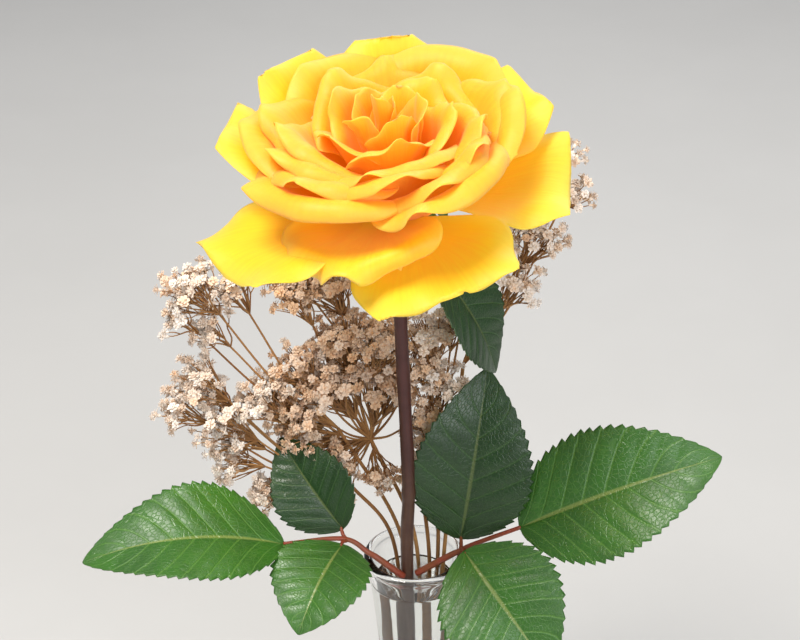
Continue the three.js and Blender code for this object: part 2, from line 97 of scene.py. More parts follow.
print(f"rim {rim:.1f} mm up, foot {2 * foot_radius:.1f} mm across, bloom seated at {bloom_seat.round(1)}")

# %% [markdown]
# ## Camera, floor and light
# The camera looks down on the bloom at about thirty degrees through a longish lens, as someone does who
# bends over a table to look into a flower. The floor is one pale sheet. The light is a soft box overhead, with
# weaker ones in front and behind, so that the petals shade each other gently.

# %% Camera
camera_data = bpy.data.cameras.new("camera")
camera_data.lens = 87.6
camera_data.sensor_width = 36
camera_data.clip_end = 50
camera = bpy.data.objects.new("camera", camera_data)
camera.location = (-0.0052, -0.582, (rim + 423) * MM)
camera.rotation_euler = (math.radians(90 - 29.2), 0, 0)
bpy.context.scene.collection.objects.link(camera)
bpy.context.scene.camera = camera
print("camera at", tuple(round(x, 3) for x in camera.location), "lens", camera_data.lens)


# %% Nodes in one call
def node(tree, kind, inputs=None, **settings):
    """Adds a shader node. Each input is given by name or number, as a value or as a socket to link from."""
    made = tree.nodes.new("ShaderNode" + kind)
    for key, value in settings.items():
        setattr(made, key, value)
    for key, value in (inputs or {}).items():
        if isinstance(value, bpy.types.NodeSocket):
            tree.links.new(value, made.inputs[key])
        else:
            made.inputs[key].default_value = value
    return made


def rgb(red, green, blue):
    """A colour as shader sockets want it."""
    return (red, green, blue, 1.0)


def ramp(tree, factor, stops):
    """A colour ramp through (position, colour) stops."""
    made = node(tree, "ValToRGB", {"Fac": factor})
    bar = made.color_ramp
    while len(bar.elements) < len(stops):
        bar.elements.new(0.5)
    for element, (place, colour) in zip(bar.elements, stops):
        element.position = place
        element.color = colour
    return made.outputs["Color"]


def blend(tree, factor, first, second, how="MIX"):
    """Mixes two colours by a factor."""
    made = tree.nodes.new("ShaderNodeMix")
    made.data_type = "RGBA"
    made.blend_type = how
    for socket, value in ((made.inputs[0], factor), (made.inputs[6], first), (made.inputs[7], second)):
        if isinstance(value, bpy.types.NodeSocket):
            tree.links.new(value, socket)
        else:
            socket.default_value = value
    return made.outputs[2]


def sums(tree, how, first, second=0.0, third=0.0):
    """One step of arithmetic on two or three values."""
    made = tree.nodes.new("ShaderNodeMath")
    made.operation = how
    for socket, value in zip(made.inputs, (first, second, third)):
        if isinstance(value, bpy.types.NodeSocket):
            tree.links.new(value, socket)
        else:
            socket.default_value = value
    return made.outputs[0]


def fade(tree, value, low, high):
    """0 below low, 1 above high, with a smooth change between."""
    limits = {"Value": value, "From Min": low, "From Max": high}
    made = node(tree, "MapRange", limits, interpolation_type="SMOOTHSTEP")
    return made.outputs["Result"]


def new_material(name, **constants):
    """A material with one Principled shader, its plain settings set on the shader's own sockets."""
    made = bpy.data.materials.new(name)
    made.use_nodes = True
    shader = made.node_tree.nodes["Principled BSDF"]
    for key, value in constants.items():
        shader.inputs[key.replace("_", " ")].default_value = value
    return made, made.node_tree, shader


def drive(tree, shader, **sockets):
    """Links sockets to the shader's inputs by name."""
    for key, socket in sockets.items():
        tree.links.new(socket, shader.inputs[key.replace("_", " ")])


# %% [markdown]
# ## Effects that several finishes share
# Living and dried surfaces are never one colour. Two effects cover most of it: mottle, a soft cloudy change
# over the surface, and streaks, fine lines that run the way the tissue grows. Each is built once as a node
# group with named inputs, and each material uses it with values of its own.


# %% Group helper
def new_group(name, inputs, outputs):
    """A shader node group with named sockets, given as (name, kind, default)."""
    group = bpy.data.node_groups.new(name, "ShaderNodeTree")
    for label, kind, value in inputs:
        socket = group.interface.new_socket(label, in_out="INPUT", socket_type="NodeSocket" + kind)
        if value is not None:
            socket.default_value = value
    for label, kind in outputs:
        group.interface.new_socket(label, in_out="OUTPUT", socket_type="NodeSocket" + kind)
    return group, group.nodes.new("NodeGroupInput"), group.nodes.new("NodeGroupOutput")


def use(tree, group, inputs=None):
    """Places a node group in a material."""
    made = tree.nodes.new("ShaderNodeGroup")
    made.node_tree = group
    for key, value in (inputs or {}).items():
        if isinstance(value, bpy.types.NodeSocket):
            tree.links.new(value, made.inputs[key])
        else:
            made.inputs[key].default_value = value
    return made


# %% Mottle
mottle, mottle_in, mottle_out = new_group(
    "mottle",
    [("Colour", "Color", rgb(1, 1, 1)), ("Patches", "Color", rgb(0.5, 0.5, 0.5)), ("Scale", "Float", 60.0),
     ("Amount", "Float", 0.3), ("Seed", "Float", 0.0)],
    [("Colour", "Color"), ("Mask", "Float")],
)
place = node(mottle, "TexCoord")
clouds = node(
    mottle, "TexNoise",
    {"Vector": place.outputs["Object"], "W": mottle_in.outputs["Seed"], "Scale": mottle_in.outputs["Scale"],
     "Detail": 4.0, "Roughness": 0.6},
    noise_dimensions="4D",
)
cloud_mask = fade(mottle, clouds.outputs["Fac"], 0.35, 0.68)
shown = sums(mottle, "MULTIPLY", cloud_mask, mottle_in.outputs["Amount"])
mottled = blend(mottle, shown, mottle_in.outputs["Colour"], mottle_in.outputs["Patches"])
mottle.links.new(mottled, mottle_out.inputs["Colour"])
mottle.links.new(cloud_mask, mottle_out.inputs["Mask"])
print("group:", mottle.name)

# %% Streaks
streaks, streaks_in, streaks_out = new_group(
    "streaks",
    [("Across", "Float", 60.0), ("Along", "Float", 3.0), ("Seed", "Float", 0.0)],
    [("Mask", "Float"), ("Fine", "Float")],
)
own_uv = node(streaks, "UVMap", uv_map="UVMap")
apart = node(streaks, "SeparateXYZ", {0: own_uv.outputs["UV"]})
stretched = node(
    streaks, "CombineXYZ",
    {"X": sums(streaks, "MULTIPLY", apart.outputs["X"], streaks_in.outputs["Across"]),
     "Y": sums(streaks, "MULTIPLY", apart.outputs["Y"], streaks_in.outputs["Along"])},
)
lines = node(
    streaks, "TexNoise",
    {"Vector": stretched.outputs[0], "W": streaks_in.outputs["Seed"], "Scale": 1.0, "Detail": 3.0},
    noise_dimensions="4D",
)
fine_lines = node(
    streaks, "TexNoise",
    {"Vector": stretched.outputs[0], "W": streaks_in.outputs["Seed"], "Scale": 3.2, "Detail": 2.0},
    noise_dimensions="4D",
)
streaks.links.new(fade(streaks, lines.outputs["Fac"], 0.38, 0.64), streaks_out.inputs["Mask"])
streaks.links.new(fine_lines.outputs["Fac"], streaks_out.inputs["Fine"])
print("group:", streaks.name)

# %% [markdown]
# ## Floor and light
# A single large plane in a warm off-white is enough: the camera looks down, so it also fills the background.

# %% Floor
floor_reach = 6
floor_height = -0.0005  # a hair below the foot, so that glass and floor don't share a face, which turns black
floor_corners = [(x * floor_reach, y * floor_reach, floor_height) for x, y in ((-1, -1), (1, -1), (1, 1), (-1, 1))]
floor_mesh = bpy.data.meshes.new("floor")
floor_mesh.from_pydata(floor_corners, [], [(0, 1, 2, 3)])
floor = bpy.data.objects.new("floor", floor_mesh)
bpy.context.scene.collection.objects.link(floor)
floor_finish, floor_tree, floor_shader = new_material("floor_finish", Roughness=0.85)
floor_colour = use(
    floor_tree, mottle,
    {"Colour": rgb(0.62, 0.61, 0.59), "Patches": rgb(0.58, 0.57, 0.55), "Scale": 6.0, "Amount": 0.4},
)
drive(floor_tree, floor_shader, Base_Color=floor_colour.outputs["Colour"])
floor_mesh.materials.append(floor_finish)
floor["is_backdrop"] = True

# %% Lights
world = bpy.data.worlds.new("studio")
world.use_nodes = True
world.node_tree.nodes["Background"].inputs["Color"].default_value = rgb(0.86, 0.89, 0.95)
world.node_tree.nodes["Background"].inputs["Strength"].default_value = 0.36
bpy.context.scene.world = world
bpy.context.scene.view_settings.view_transform = "Standard"


def soft_box(name, place, target, size, power, tint):
    """A square area light that faces a target."""
    data = bpy.data.lights.new(name, "AREA")
    data.size = size
    data.energy = power
    data.color = tint
    light = bpy.data.objects.new(name, data)
    light.location = place
    light.rotation_euler = (Vector(target) - Vector(place)).to_track_quat("-Z", "Y").to_euler()
    bpy.context.scene.collection.objects.link(light)


bloom_middle = (-0.006, 0, (rim + 160) * MM)
soft_box("key_light", (-0.35, -0.25, 1.25), bloom_middle, 0.45, 13, (1.0, 0.96, 0.90))
soft_box("front_light", (0.45, -1.0, 0.75), bloom_middle, 0.8, 8, (0.95, 0.97, 1.0))
soft_box("back_light", (0.3, 0.9, 1.1), bloom_middle, 0.8, 6, (1.0, 1.0, 1.0))

# %% [markdown]
# ## Making a mesh from arrays
# Every piece below is an array of points and an array of faces. One function turns them into an object that
# rides on the body, stands in for its CAD nodes and carries its own map: a pair of numbers at each point for
# patterns that follow the growth, and single numbers such as how near the edge a point is.


# %% One piece
def new_piece(name, points, faces, material, replaces=(), uv=None, values=None):
    """Makes an object from points in millimetres and faces that list their corners anticlockwise."""
    mesh = bpy.data.meshes.new(name)
    mesh.from_pydata(points * MM, [], faces)
    mesh.polygons.foreach_set("use_smooth", np.ones(len(mesh.polygons), bool))
    corner_points = np.empty(len(mesh.loops), np.int32)
    mesh.loops.foreach_get("vertex_index", corner_points)
    layer = mesh.uv_layers.new(name="UVMap")
    flat_map = uv if uv is not None else points[:, :2] * MM
    layer.data.foreach_set("uv", flat_map[corner_points].astype(np.float32).ravel())
    for label, numbers in (values or {}).items():
        mesh.attributes.new(label, "FLOAT", "POINT").data.foreach_set("value", numbers.astype(np.float32))
    mesh.materials.append(material)
    mesh.update()
    piece = bpy.data.objects.new(name, mesh)
    bpy.context.scene.collection.objects.link(piece)
    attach(piece, "root")
    if replaces:
        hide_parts(*replaces)
    return piece


def joined(parts):
    """Several (points, faces) as one, with the faces renumbered."""
    starts = np.cumsum([0] + [len(points) for points, _ in parts[:-1]])
    faces = []
    for start, (_, part_faces) in zip(starts, parts):
        faces += [tuple(int(i) + int(start) for i in face) for face in part_faces]
    return np.concatenate([points for points, _ in parts]), faces


# %% [markdown]
# ## Sheets
# A petal or a leaf is a thin sheet. Its middle surface is a function of two numbers, one across and one
# along. The two faces stand off it along the normal, and a row of faces round the edge closes them.


# %% A closed sheet
def unit(vectors):
    """Vectors cut to length one."""
    return vectors / np.maximum(np.linalg.norm(vectors, axis=-1, keepdims=True), 1e-12)


def normals_of(grid):
    """Normals of a grid of points: the cross product of its changes across and along."""
    return unit(np.cross(np.gradient(grid, axis=1), np.gradient(grid, axis=0)))


def sheet(grid, thickness):
    """Points and faces of a closed sheet round a grid of (rows, columns, 3) points.

    The first half of the points is the side that the normals leave from, the second half the other side.
    """
    rows, columns = grid.shape[:2]
    offset = normals_of(grid) * (thickness / 2)[..., None]
    points = np.concatenate([(grid + offset).reshape(-1, 3), (grid - offset).reshape(-1, 3)])
    number = np.arange(rows * columns).reshape(rows, columns)
    cells = np.stack([number[:-1, :-1], number[:-1, 1:], number[1:, 1:], number[1:, :-1]], -1).reshape(-1, 4)
    border = np.concatenate([number[0, :-1], number[:-1, -1], number[-1, :0:-1], number[:0:-1, 0]])
    following = np.roll(border, -1)
    half = rows * columns
    rim_faces = np.stack([following, border, border + half, following + half], -1)
    return points, np.concatenate([cells, cells[:, ::-1] + half, rim_faces])


def both(numbers):
    """The same numbers for both sides of a sheet."""
    flat = numbers.reshape(-1, *numbers.shape[2:])
    return np.concatenate([flat, flat])


# %% [markdown]
# ## Petals
# A rose petal grows from a narrow claw, spreads into a bowl and rolls its margin back, except at a point or
# two, which stay as sharp corners. So a petal is a disc in three moves. Its margin is rolled back by an
# angle that fades out at the corners. It is laid along a midline that rises from the seat and leans out. And
# it is bent across that midline, round the bloom's own axis, so that a ring of petals makes a cup.


# %% Petal surface
roll_start = 0.62  # share of the blank's radius where the margin starts to roll
corner_spread = 15  # degrees round the blank over which a corner holds the roll back
point_width = 16  # degrees round the blank over which a corner is drawn out to a point


def smooth(x):
    """0 below 0, 1 above 1, 3x^2 - 2x^3 between."""
    x = np.clip(x, 0, 1)
    return x * x * (3 - 2 * x)


def slope_at(slope, t):
    """The midline's slope in degrees: a parabola through its values at the seat, middle and tip."""
    a, b, c = slope
    return a * (1 - t) ** 2 + 2 * b * t * (1 - t) + c * t * t


def midline(petal, t):
    """Distance from the axis and height at the share t of the midline, by adding up short steps."""
    middles = (np.arange(64) + 0.5) / 64
    lean = np.radians(slope_at(petal["slope"], middles))
    step = petal["length"] / 64
    out = petal["seat"] + np.concatenate([[0], np.cumsum(np.cos(lean) * step)])
    up = np.concatenate([[0], np.cumsum(np.sin(lean) * step)])
    shares = np.linspace(0, 1, 65)
    return np.interp(t, shares, out), np.interp(t, shares, up)


def petal_blank(petal, u, v):
    """The disc: grid to disc, then the margin rolled past roll_start of the radius.

    Corners hold the roll back by a bell curve of the angle from them, and draw the edge out by a peak that
    falls off evenly on both sides and grows with the fourth power of the radius.
    Returns across and along on the rolled blank, how far the margin has dropped, the direction round the
    disc in degrees and the share of the radius.
    """
    s = 2 * v - 1
    x = u * np.sqrt(1 - s * s / 2)
    y = s * np.sqrt(1 - u * u / 2)
    radius = np.hypot(x, y)
    around = np.degrees(np.arctan2(x, y))
    away = [(np.abs(around - corner), sharp) for corner, sharp in petal["corners"]]
    corners = 1 - sum(sharp * np.exp(-((d / corner_spread) ** 2)) for d, sharp in away)
    point = sum(sharp * np.exp(-d / point_width) for d, sharp in away)
    margin = 1 - roll_start
    angle = np.radians(petal["roll"]) * smooth((y + 0.1) / 0.6) * np.clip(corners, 0.05, 1)
    angle = np.maximum(angle, 1e-3)
    share = np.clip((radius - roll_start) / margin, 0, 1)
    reach = roll_start + margin * np.sin(angle * share) / angle
    scale = np.where(share > 0, reach / np.maximum(radius, 1e-9), 1)
    scale *= 1 + petal.get("point", 0.16) * point * radius**4
    drop = margin * (1 - np.cos(angle * share)) / angle * petal["width"] / 2
    return x * scale, y * scale, np.where(share > 0, drop, 0), around, radius


def petal_grid(petal, count):
    """Middle surface of a petal in the bloom's frame, with its map and its nearness to the edge."""
    u, v = np.meshgrid(np.linspace(-1, 1, count), np.linspace(0, 1, count))
    x, y, drop, around, radius = petal_blank(petal, u, v)
    t = (y + 1) / 2
    out, up = midline(petal, t)
    lean = np.radians(slope_at(petal["slope"], t))
    bend_radius = np.maximum(out, 3.5) * (1 + (petal.get("flat", 1) - 1) * t)
    claw = 0.34 + (1.12 - 0.34) * smooth(t / 0.7)
    bend = x * petal["width"] / 2 * claw / bend_radius
    turn = math.radians(petal.get("turn", 7))
    lateral = (bend_radius + drop) * np.sin(bend)
    inward = bend_radius - (bend_radius + drop) * np.cos(bend) + lateral * math.sin(turn)
    heading = math.radians(petal["azimuth"])
    away = np.array([math.cos(heading), math.sin(heading), 0])
    side = np.array([-math.sin(heading), math.cos(heading), 0])
    grid = (out - inward * np.sin(lean))[..., None] * away + (lateral * math.cos(turn))[..., None] * side
    grid[..., 2] += up + inward * np.cos(lean)
    grid += normals_of(grid) * petal_waves(petal, around, radius)[..., None]
    fan = np.arctan2(x, y + 1.25) / 2 + 0.5
    return grid, np.stack([fan, t], -1), radius


def petal_waves(petal, around, radius):
    """Waves of the margin: three sines round the edge, growing with the third power of the radius."""
    phase = petal["azimuth"] * 0.7
    waves = (
        np.sin(np.radians(around * 3.1) + phase)
        + 0.6 * np.sin(np.radians(around * 6.3) + 2.1 * phase)
        + 0.35 * np.sin(np.radians(around * 11.7) + 3.7 * phase)
    )
    return petal.get("wave", 0.5) * waves * radius**3


# %% [markdown]
# The bloom opens from a tight heart. The inner rings are regular enough to be counted: each has three or five
# petals, and a start angle for the first of them, chosen so that its petals cover the gaps of the ring inside
# it. A little seeded play in angle, length and width keeps the petals of a ring from being copies. The outer
# petals, and three collar petals at the front of the bowl, are placed one by one, because each has opened its
# own way.


# %% The inner rings
def wobble(i, k):
    """A repeatable number from -1 to 1 for item i and trait k."""
    x = math.sin(i * 12.9898 + k * 78.233) * 43758.5453
    return 2 * (x - math.floor(x)) - 1


rings = [
    dict(
        name="heart", count=3, start=0, seat=2.0, length=40, width=12,
        slope=(86, 88, 92), roll=20, turn=16, wave=0.6,
    ),
    dict(
        name="inner", count=5, start=137, seat=3.4, length=40, width=20,
        slope=(74, 82, 80), roll=50, turn=15, wave=0.9,
    ),
    dict(
        name="throat", count=5, start=275, seat=4.4, length=42, width=31,
        slope=(54, 78, 70), roll=100, turn=12, wave=1.0,
    ),
    dict(
        name="cup", count=5, start=52, seat=5.4, length=46, width=42,
        slope=(38, 72, 60), roll=120, turn=10, wave=1.0,
    ),
    dict(
        name="bowl", count=5, start=16, seat=6.4, length=50, width=48,
        slope=(26, 66, 52), roll=130, turn=9, wave=0.9,
    ),
]
ring_petals = []
for k, ring in enumerate(rings):
    for i in range(ring["count"]):
        heading = ring["start"] + 360 / ring["count"] * i
        forward = -math.sin(math.radians(heading))
        ring_petals.append({
            **ring,
            "name": f"petal_{ring['name']}_{i + 1}",
            "azimuth": heading + 5 * wobble(i, k),
            "length": ring["length"] * (1 + 0.04 * wobble(i, k + 10) + 0.06 * forward),
            "width": ring["width"] * (1 + 0.06 * wobble(i, k + 20)),
            "corners": [(24 * wobble(i, k + 30), 0.6)],
        })
print(len(ring_petals), "petals in", len(rings), "rings")


# %% The outer petals
def outer(name, azimuth, seat, length, width, slope, roll, flat, corners, **more):
    """One outer petal: azimuth in degrees, 0 to the right and -90 to the front, sizes in millimetres."""
    return dict(
        name="petal_" + name, azimuth=azimuth, seat=seat, length=length, width=width, slope=slope, roll=roll,
        flat=flat, corners=corners, **more,
    )


outer_petals = [
    outer("collar_left", -148, 6.0, 50, 42, (32, 70, 54), 130, 1, [(-20, 0.6)], wave=0.9, turn=9),
    outer("collar_front", -90, 6.0, 52, 42, (32, 70, 54), 130, 1, [(14, 0.6)], wave=0.9, turn=9),
    outer("collar_right", -36, 6.0, 50, 40, (32, 70, 54), 130, 1, [(-10, 0.6)], wave=0.9, turn=9),
    outer("rim_front_left", -130, 7.4, 57, 58, (14, 69, 40), 140, 1, [(-38, 0.4)], wave=0.5),
    outer("rim_front_right", -56, 7.4, 56, 54, (14, 71, 42), 130, 1, [(-38, 0.6)], wave=0.5),
    outer("rim_right", 4, 7.4, 51, 50, (14, 72, 56), 100, 1, [(10, 0.4)], wave=0.6),
    outer("rim_back_right", 58, 7.4, 52, 54, (12, 68, 62), 70, 1, [(-30, 0.5)], wave=0.5),
    outer("rim_back_left", 116, 7.4, 52, 54, (12, 68, 60), 80, 1, [(20, 0.5)], wave=0.6),
    outer("rim_left", 172, 7.4, 54, 52, (12, 68, 50), 100, 1, [(0, 0.4)], wave=0.5),
    outer("guard_front", -109, 8.6, 47, 54, (12, 36, -4), 150, 2, [(-52, 0.4), (0, 1)], wave=0.4, point=0.2),
    outer("guard_right", -4, 8.6, 49, 44, (4, 20, 2), 60, 2, [(-40, 1), (34, 0.9)], wave=0.3, point=0.32),
    outer(
        "guard_back_right", 30, 8.6, 51, 40, (10, 44, 22), 60, 1.5,
        [(-18, 0.9), (24, 0.9)], wave=0.5, point=0.28,
    ),
    outer("guard_back", 92, 8.6, 53, 46, (8, 63, 58), 60, 1.3, [(-2, 1)], wave=0.5, point=0.42),
    outer(
        "guard_back_left", 131, 8.6, 56, 42, (8, 59, 48), 60, 1.5,
        [(20, 1), (-24, 0.6)], wave=0.4, point=0.28,
    ),
    outer("guard_left", 167, 8.6, 55, 40, (14, 50, 26), 60, 2, [(-34, 0.9), (12, 1)], wave=0.3, point=0.32),
    outer("low_left", -150, 9.6, 57, 50, (6, 14, 2), 60, 3, [(-24, 1), (44, 1)], wave=0.3, point=0.32),
    outer(
        "low_front", -74, 9.6, 46, 50, (0, 8, -6), 60, 3,
        [(-36, 1), (2, 1.1), (38, 1)], wave=0.4, point=0.32,
    ),
]
print(len(outer_petals), "outer petals")

# %% [markdown]
# ### Petal finish
# A petal is a filter of yellow more than a coat of it: light that has passed several petals comes out orange.
# Path tracing gives most of that if the yellow is deep enough, and a faint glow of the petal's own colour
# keeps the folds orange where few rays reach. The material varies the yellow: deeper towards the claw, paler
# at the thin edge, with fine veins that fan out from the claw.


# %% Petal materials
petal_glow = 0.10  # stands for the light that thin petals pass on to each other, deep in the folds


def petal_finish(name, claw, body, tip, edge, vein, seed):
    """A velvety petal, coloured by the share along it, by nearness to the edge and by fanning veins."""
    made, tree, shader = new_material(
        name, Subsurface_Weight=0.45, Subsurface_Scale=0.004, Sheen_Weight=0.15, Sheen_Roughness=0.5,
        Specular_IOR_Level=0.35, Emission_Strength=petal_glow,
    )
    shader.inputs["Subsurface Radius"].default_value = (1.0, 0.55, 0.1)
    along = node(tree, "SeparateXYZ", {0: node(tree, "UVMap", uv_map="UVMap").outputs["UV"]}).outputs["Y"]
    near_edge = node(tree, "Attribute", attribute_name="edge").outputs["Fac"]
    colour = ramp(tree, along, [(0.0, claw), (0.42, body), (0.85, tip), (1.0, tip)])
    clouded = use(tree, mottle, {"Colour": colour, "Patches": body, "Scale": 45.0, "Amount": 0.35, "Seed": seed})
    grown = use(tree, streaks, {"Across": 70.0, "Along": 2.5, "Seed": seed})
    veined = blend(tree, sums(tree, "MULTIPLY", grown.outputs["Mask"], 0.28), clouded.outputs["Colour"], vein)
    rimmed = blend(tree, sums(tree, "MULTIPLY", fade(tree, near_edge, 0.72, 1.0), 0.55), veined, edge)
    rough = node(tree, "MapRange", {"Value": grown.outputs["Fine"], "To Min": 0.42, "To Max": 0.62})
    relief = node(
        tree, "Bump", {"Height": grown.outputs["Fine"], "Strength": 0.22, "Distance": 0.0004},
    )
    drive(
        tree, shader, Base_Color=rimmed, Roughness=rough.outputs["Result"], Normal=relief.outputs["Normal"],
        Emission_Color=clouded.outputs["Colour"],
    )
    return made


heart_petal = petal_finish(
    "heart_petal_finish", rgb(0.92, 0.19, 0.004), rgb(1.0, 0.33, 0.008), rgb(1.0, 0.42, 0.016),
    rgb(1.0, 0.58, 0.09), rgb(0.98, 0.22, 0.004), 1.0,
)
petal = petal_finish(
    "petal_finish", rgb(0.94, 0.22, 0.004), rgb(0.98, 0.37, 0.006), rgb(1.0, 0.43, 0.014),
    rgb(1.0, 0.56, 0.08), rgb(0.98, 0.31, 0.004), 2.0,
)
guard_petal = petal_finish(
    "guard_petal_finish", rgb(0.66, 0.50, 0.016), rgb(0.98, 0.54, 0.006), rgb(1.0, 0.54, 0.012),
    rgb(1.0, 0.64, 0.08), rgb(0.92, 0.40, 0.004), 3.0,
)


# %% Petal pieces
petal_detail = 45


def petal_kind(name):
    """The finish and the record's slot for a petal, by its ring."""
    if "heart" in name or "inner" in name:
        return heart_petal, "heart_petal" if "heart" in name else "petal"
    if "guard" in name or "low" in name:
        return guard_petal, "guard_petal"
    return petal, "petal"


for shape in ring_petals + outer_petals:
    grid, uv, radius = petal_grid(shape, petal_detail)
    thickness = 0.5 - 0.32 * smooth((radius - 0.5) / 0.5)
    points, faces = sheet(grid, thickness)
    finish, slot = petal_kind(shape["name"])
    new_piece(
        shape["name"] + "_sheet", from_bloom(points), faces, finish, [shape["name"]], both(uv),
        {"edge": both(radius)},
    )
print("petals made on a grid of", petal_detail, "by", petal_detail)

# %% [markdown]
# ## Stalks
# Stems, leaf stalks and twigs are round profiles carried along a smooth path. At each point of the path the
# profile is a circle in the plane across it. Its size may change from point to point, which gives tapers,
# swellings at the joints and closed, rounded ends.


# %% Paths and tubes
def smooth_path(points, count):
    """A curve through the points: on each span a cubic that leaves along the line between its neighbours."""
    points = np.asarray(points, float)
    ends = np.concatenate([[2 * points[0] - points[1]], points, [2 * points[-1] - points[-2]]])
    place = np.linspace(0, len(points) - 1, count)
    span = np.minimum(place.astype(int), len(points) - 2)
    t = (place - span)[:, None]
    a, b, c, d = (ends[span + k] for k in range(4))
    return 0.5 * (2 * b + (c - a) * t + (2 * a - 5 * b + 4 * c - d) * t**2 + (3 * b - a - 3 * c + d) * t**3)


def tube(path, radii, sides):
    """Points and faces of a round bar: circles of the given radii across the path, closed at both ends."""
    heading = unit(np.gradient(path, axis=0))
    across = np.eye(3)[np.argmin(np.abs(heading.mean(axis=0)))]
    first = unit(np.cross(heading, across))
    second = np.cross(heading, first)
    turn = np.linspace(0, 2 * np.pi, sides, endpoint=False)
    circle = np.cos(turn)[None, :, None] * first[:, None] + np.sin(turn)[None, :, None] * second[:, None]
    points = path[:, None] + circle * np.broadcast_to(radii, len(path))[:, None, None]
    number = np.arange(len(path) * sides).reshape(len(path), sides)
    right = np.roll(number, -1, axis=1)
    walls = np.stack([number[:-1], right[:-1], right[1:], number[1:]], -1).reshape(-1, 4)
    faces = [tuple(face) for face in walls.tolist()]
    faces += [tuple(number[0, ::-1].tolist()), tuple(number[-1].tolist())]
    return points.reshape(-1, 3), faces


def tube_map(path, sides):
    """A map for a tube: once round it is one unit, and 20 mm along it is one unit."""
    walked = np.concatenate([[0], np.cumsum(np.linalg.norm(np.diff(path, axis=0), axis=1))]) / 20
    round_it = np.linspace(0, 1, sides, endpoint=False)
    return np.stack(np.meshgrid(round_it, walked), -1).reshape(-1, 2)


# %% [markdown]
# ### The rose's stem
# The stem is a young cane, dark red-brown where it has had the sun and greener lower down. It thickens a
# little at the joints, where a leaf has left, and just under the bloom.


# %% Stem finish
def stalk_finish(name, low, high, patches, switch, gloss, seed):
    """A smooth stalk that changes from one colour to another with height, streaked along its length."""
    made, tree, shader = new_material(name, Coat_Weight=0.12, Coat_Roughness=0.3)
    height = node(tree, "SeparateXYZ", {0: node(tree, "TexCoord").outputs["Object"]}).outputs["Z"]
    base = blend(tree, fade(tree, height, switch[0], switch[1]), low, high)
    clouded = use(tree, mottle, {"Colour": base, "Patches": patches, "Scale": 140.0, "Amount": 0.45, "Seed": seed})
    grown = use(tree, streaks, {"Across": 14.0, "Along": 1.2, "Seed": seed})
    streaked = blend(tree, sums(tree, "MULTIPLY", grown.outputs["Mask"], 0.35), clouded.outputs["Colour"], patches)
    rough = node(tree, "MapRange", {"Value": clouded.outputs["Mask"], "To Min": gloss, "To Max": gloss + 0.2})
    relief = node(tree, "Bump", {"Height": grown.outputs["Fine"], "Strength": 0.3, "Distance": 0.0005})
    drive(tree, shader, Base_Color=streaked, Roughness=rough.outputs["Result"], Normal=relief.outputs["Normal"])
    return made


bark = stalk_finish(
    "bark_finish", rgb(0.090, 0.036, 0.016), rgb(0.075, 0.014, 0.010), rgb(0.040, 0.008, 0.006),
    ((rim + 15) * MM, (rim + 60) * MM), 0.38, 4.0,
)
petiole = stalk_finish(
    "petiole_finish", rgb(0.33, 0.035, 0.02), rgb(0.30, 0.05, 0.02), rgb(0.16, 0.09, 0.02),
    (0.1, 0.3), 0.3, 5.0,
)

# %% Stem
stem_path = smooth_path(
    [
        (-0.4, -1.2, 32), (-0.6, -1.4, 70), (-2.6, -1.6, rim),
        (-2.2, -0.8, rim + 32), (-4.9, 0, rim + 96), hip_base + (0, 0, 0.5),
    ],
    160,
)
joints = np.array([rim + 27.0, rim + 115.0])
swelling = sum(0.35 * np.exp(-(((stem_path[:, 2] - z) / 2.2) ** 2)) for z in joints)
stem_radii = 2.35 + swelling + 0.06 * np.sin(stem_path[:, 2] / 5.3)
stem_radii[0] = 1.7
points, faces = tube(stem_path, stem_radii, 24)
new_piece("rose_stem_cane", points, faces, bark, ["rose_stem"], tube_map(stem_path, 24))
print(f"stem: {np.linalg.norm(np.diff(stem_path, axis=0), axis=1).sum():.0f} mm long")

# %% [markdown]
# ### Hip and sepals
# Under the petals sits the hip, a small green urn. Five sepals hang back from its shoulder. On the real plant
# they are long, narrow and a little leafy, so each is a sheet with a channel down its middle and a tip drawn
# out to a thread.


# %% Hip and sepals
def turned(profile, sides, cap_low=True, cap_high=True):
    """Points and faces of a profile of (radius, height) turned about the Z axis, closed at the poles."""
    profile = np.asarray(profile, float)
    turn = np.linspace(0, 2 * np.pi, sides, endpoint=False)
    ring = np.stack([np.cos(turn), np.sin(turn)], -1)
    points = np.concatenate(
        [profile[:, None, :1] * ring[None], np.broadcast_to(profile[:, None, 1:], (len(profile), sides, 1))], -1
    ).reshape(-1, 3)
    number = np.arange(len(profile) * sides).reshape(len(profile), sides)
    right = np.roll(number, -1, axis=1)
    faces = np.stack([number[:-1], right[:-1], right[1:], number[1:]], -1).reshape(-1, 4).tolist()
    if cap_low:
        faces.append(number[0, ::-1].tolist())
    if cap_high:
        faces.append(number[-1].tolist())
    return points, [tuple(face) for face in faces]


def sepal_grid(azimuth, length, width, curl):
    """A sepal: a narrow strip that leaves the hip's shoulder, bows out and hangs, channelled along its middle."""
    u, v = np.meshgrid(np.linspace(-1, 1, 13), np.linspace(0, 1, 41))
    path = dict(seat=4.2, length=length, slope=(-28, -62, curl))
    out, up = midline(path, v)
    lean = np.radians(slope_at(path["slope"], v))
    half = width / 2 * (1 - v) ** 0.75 * (0.75 + 0.6 * np.sin(np.pi * v)) + 0.18
    half *= 1 + 0.12 * np.sin(v * 31 + azimuth) * np.abs(u)
    lateral = u * half
    channel = 0.18 * half * (u**2) * 2.2
    heading = math.radians(azimuth)
    away = np.array([math.cos(heading), math.sin(heading), 0])
    side = np.array([-math.sin(heading), math.cos(heading), 0])
    grid = (out - channel * np.sin(lean))[..., None] * away + lateral[..., None] * side
    grid[..., 2] += up + channel * np.cos(lean) - 3
    return grid, np.stack([u / 2 + 0.5, v], -1)


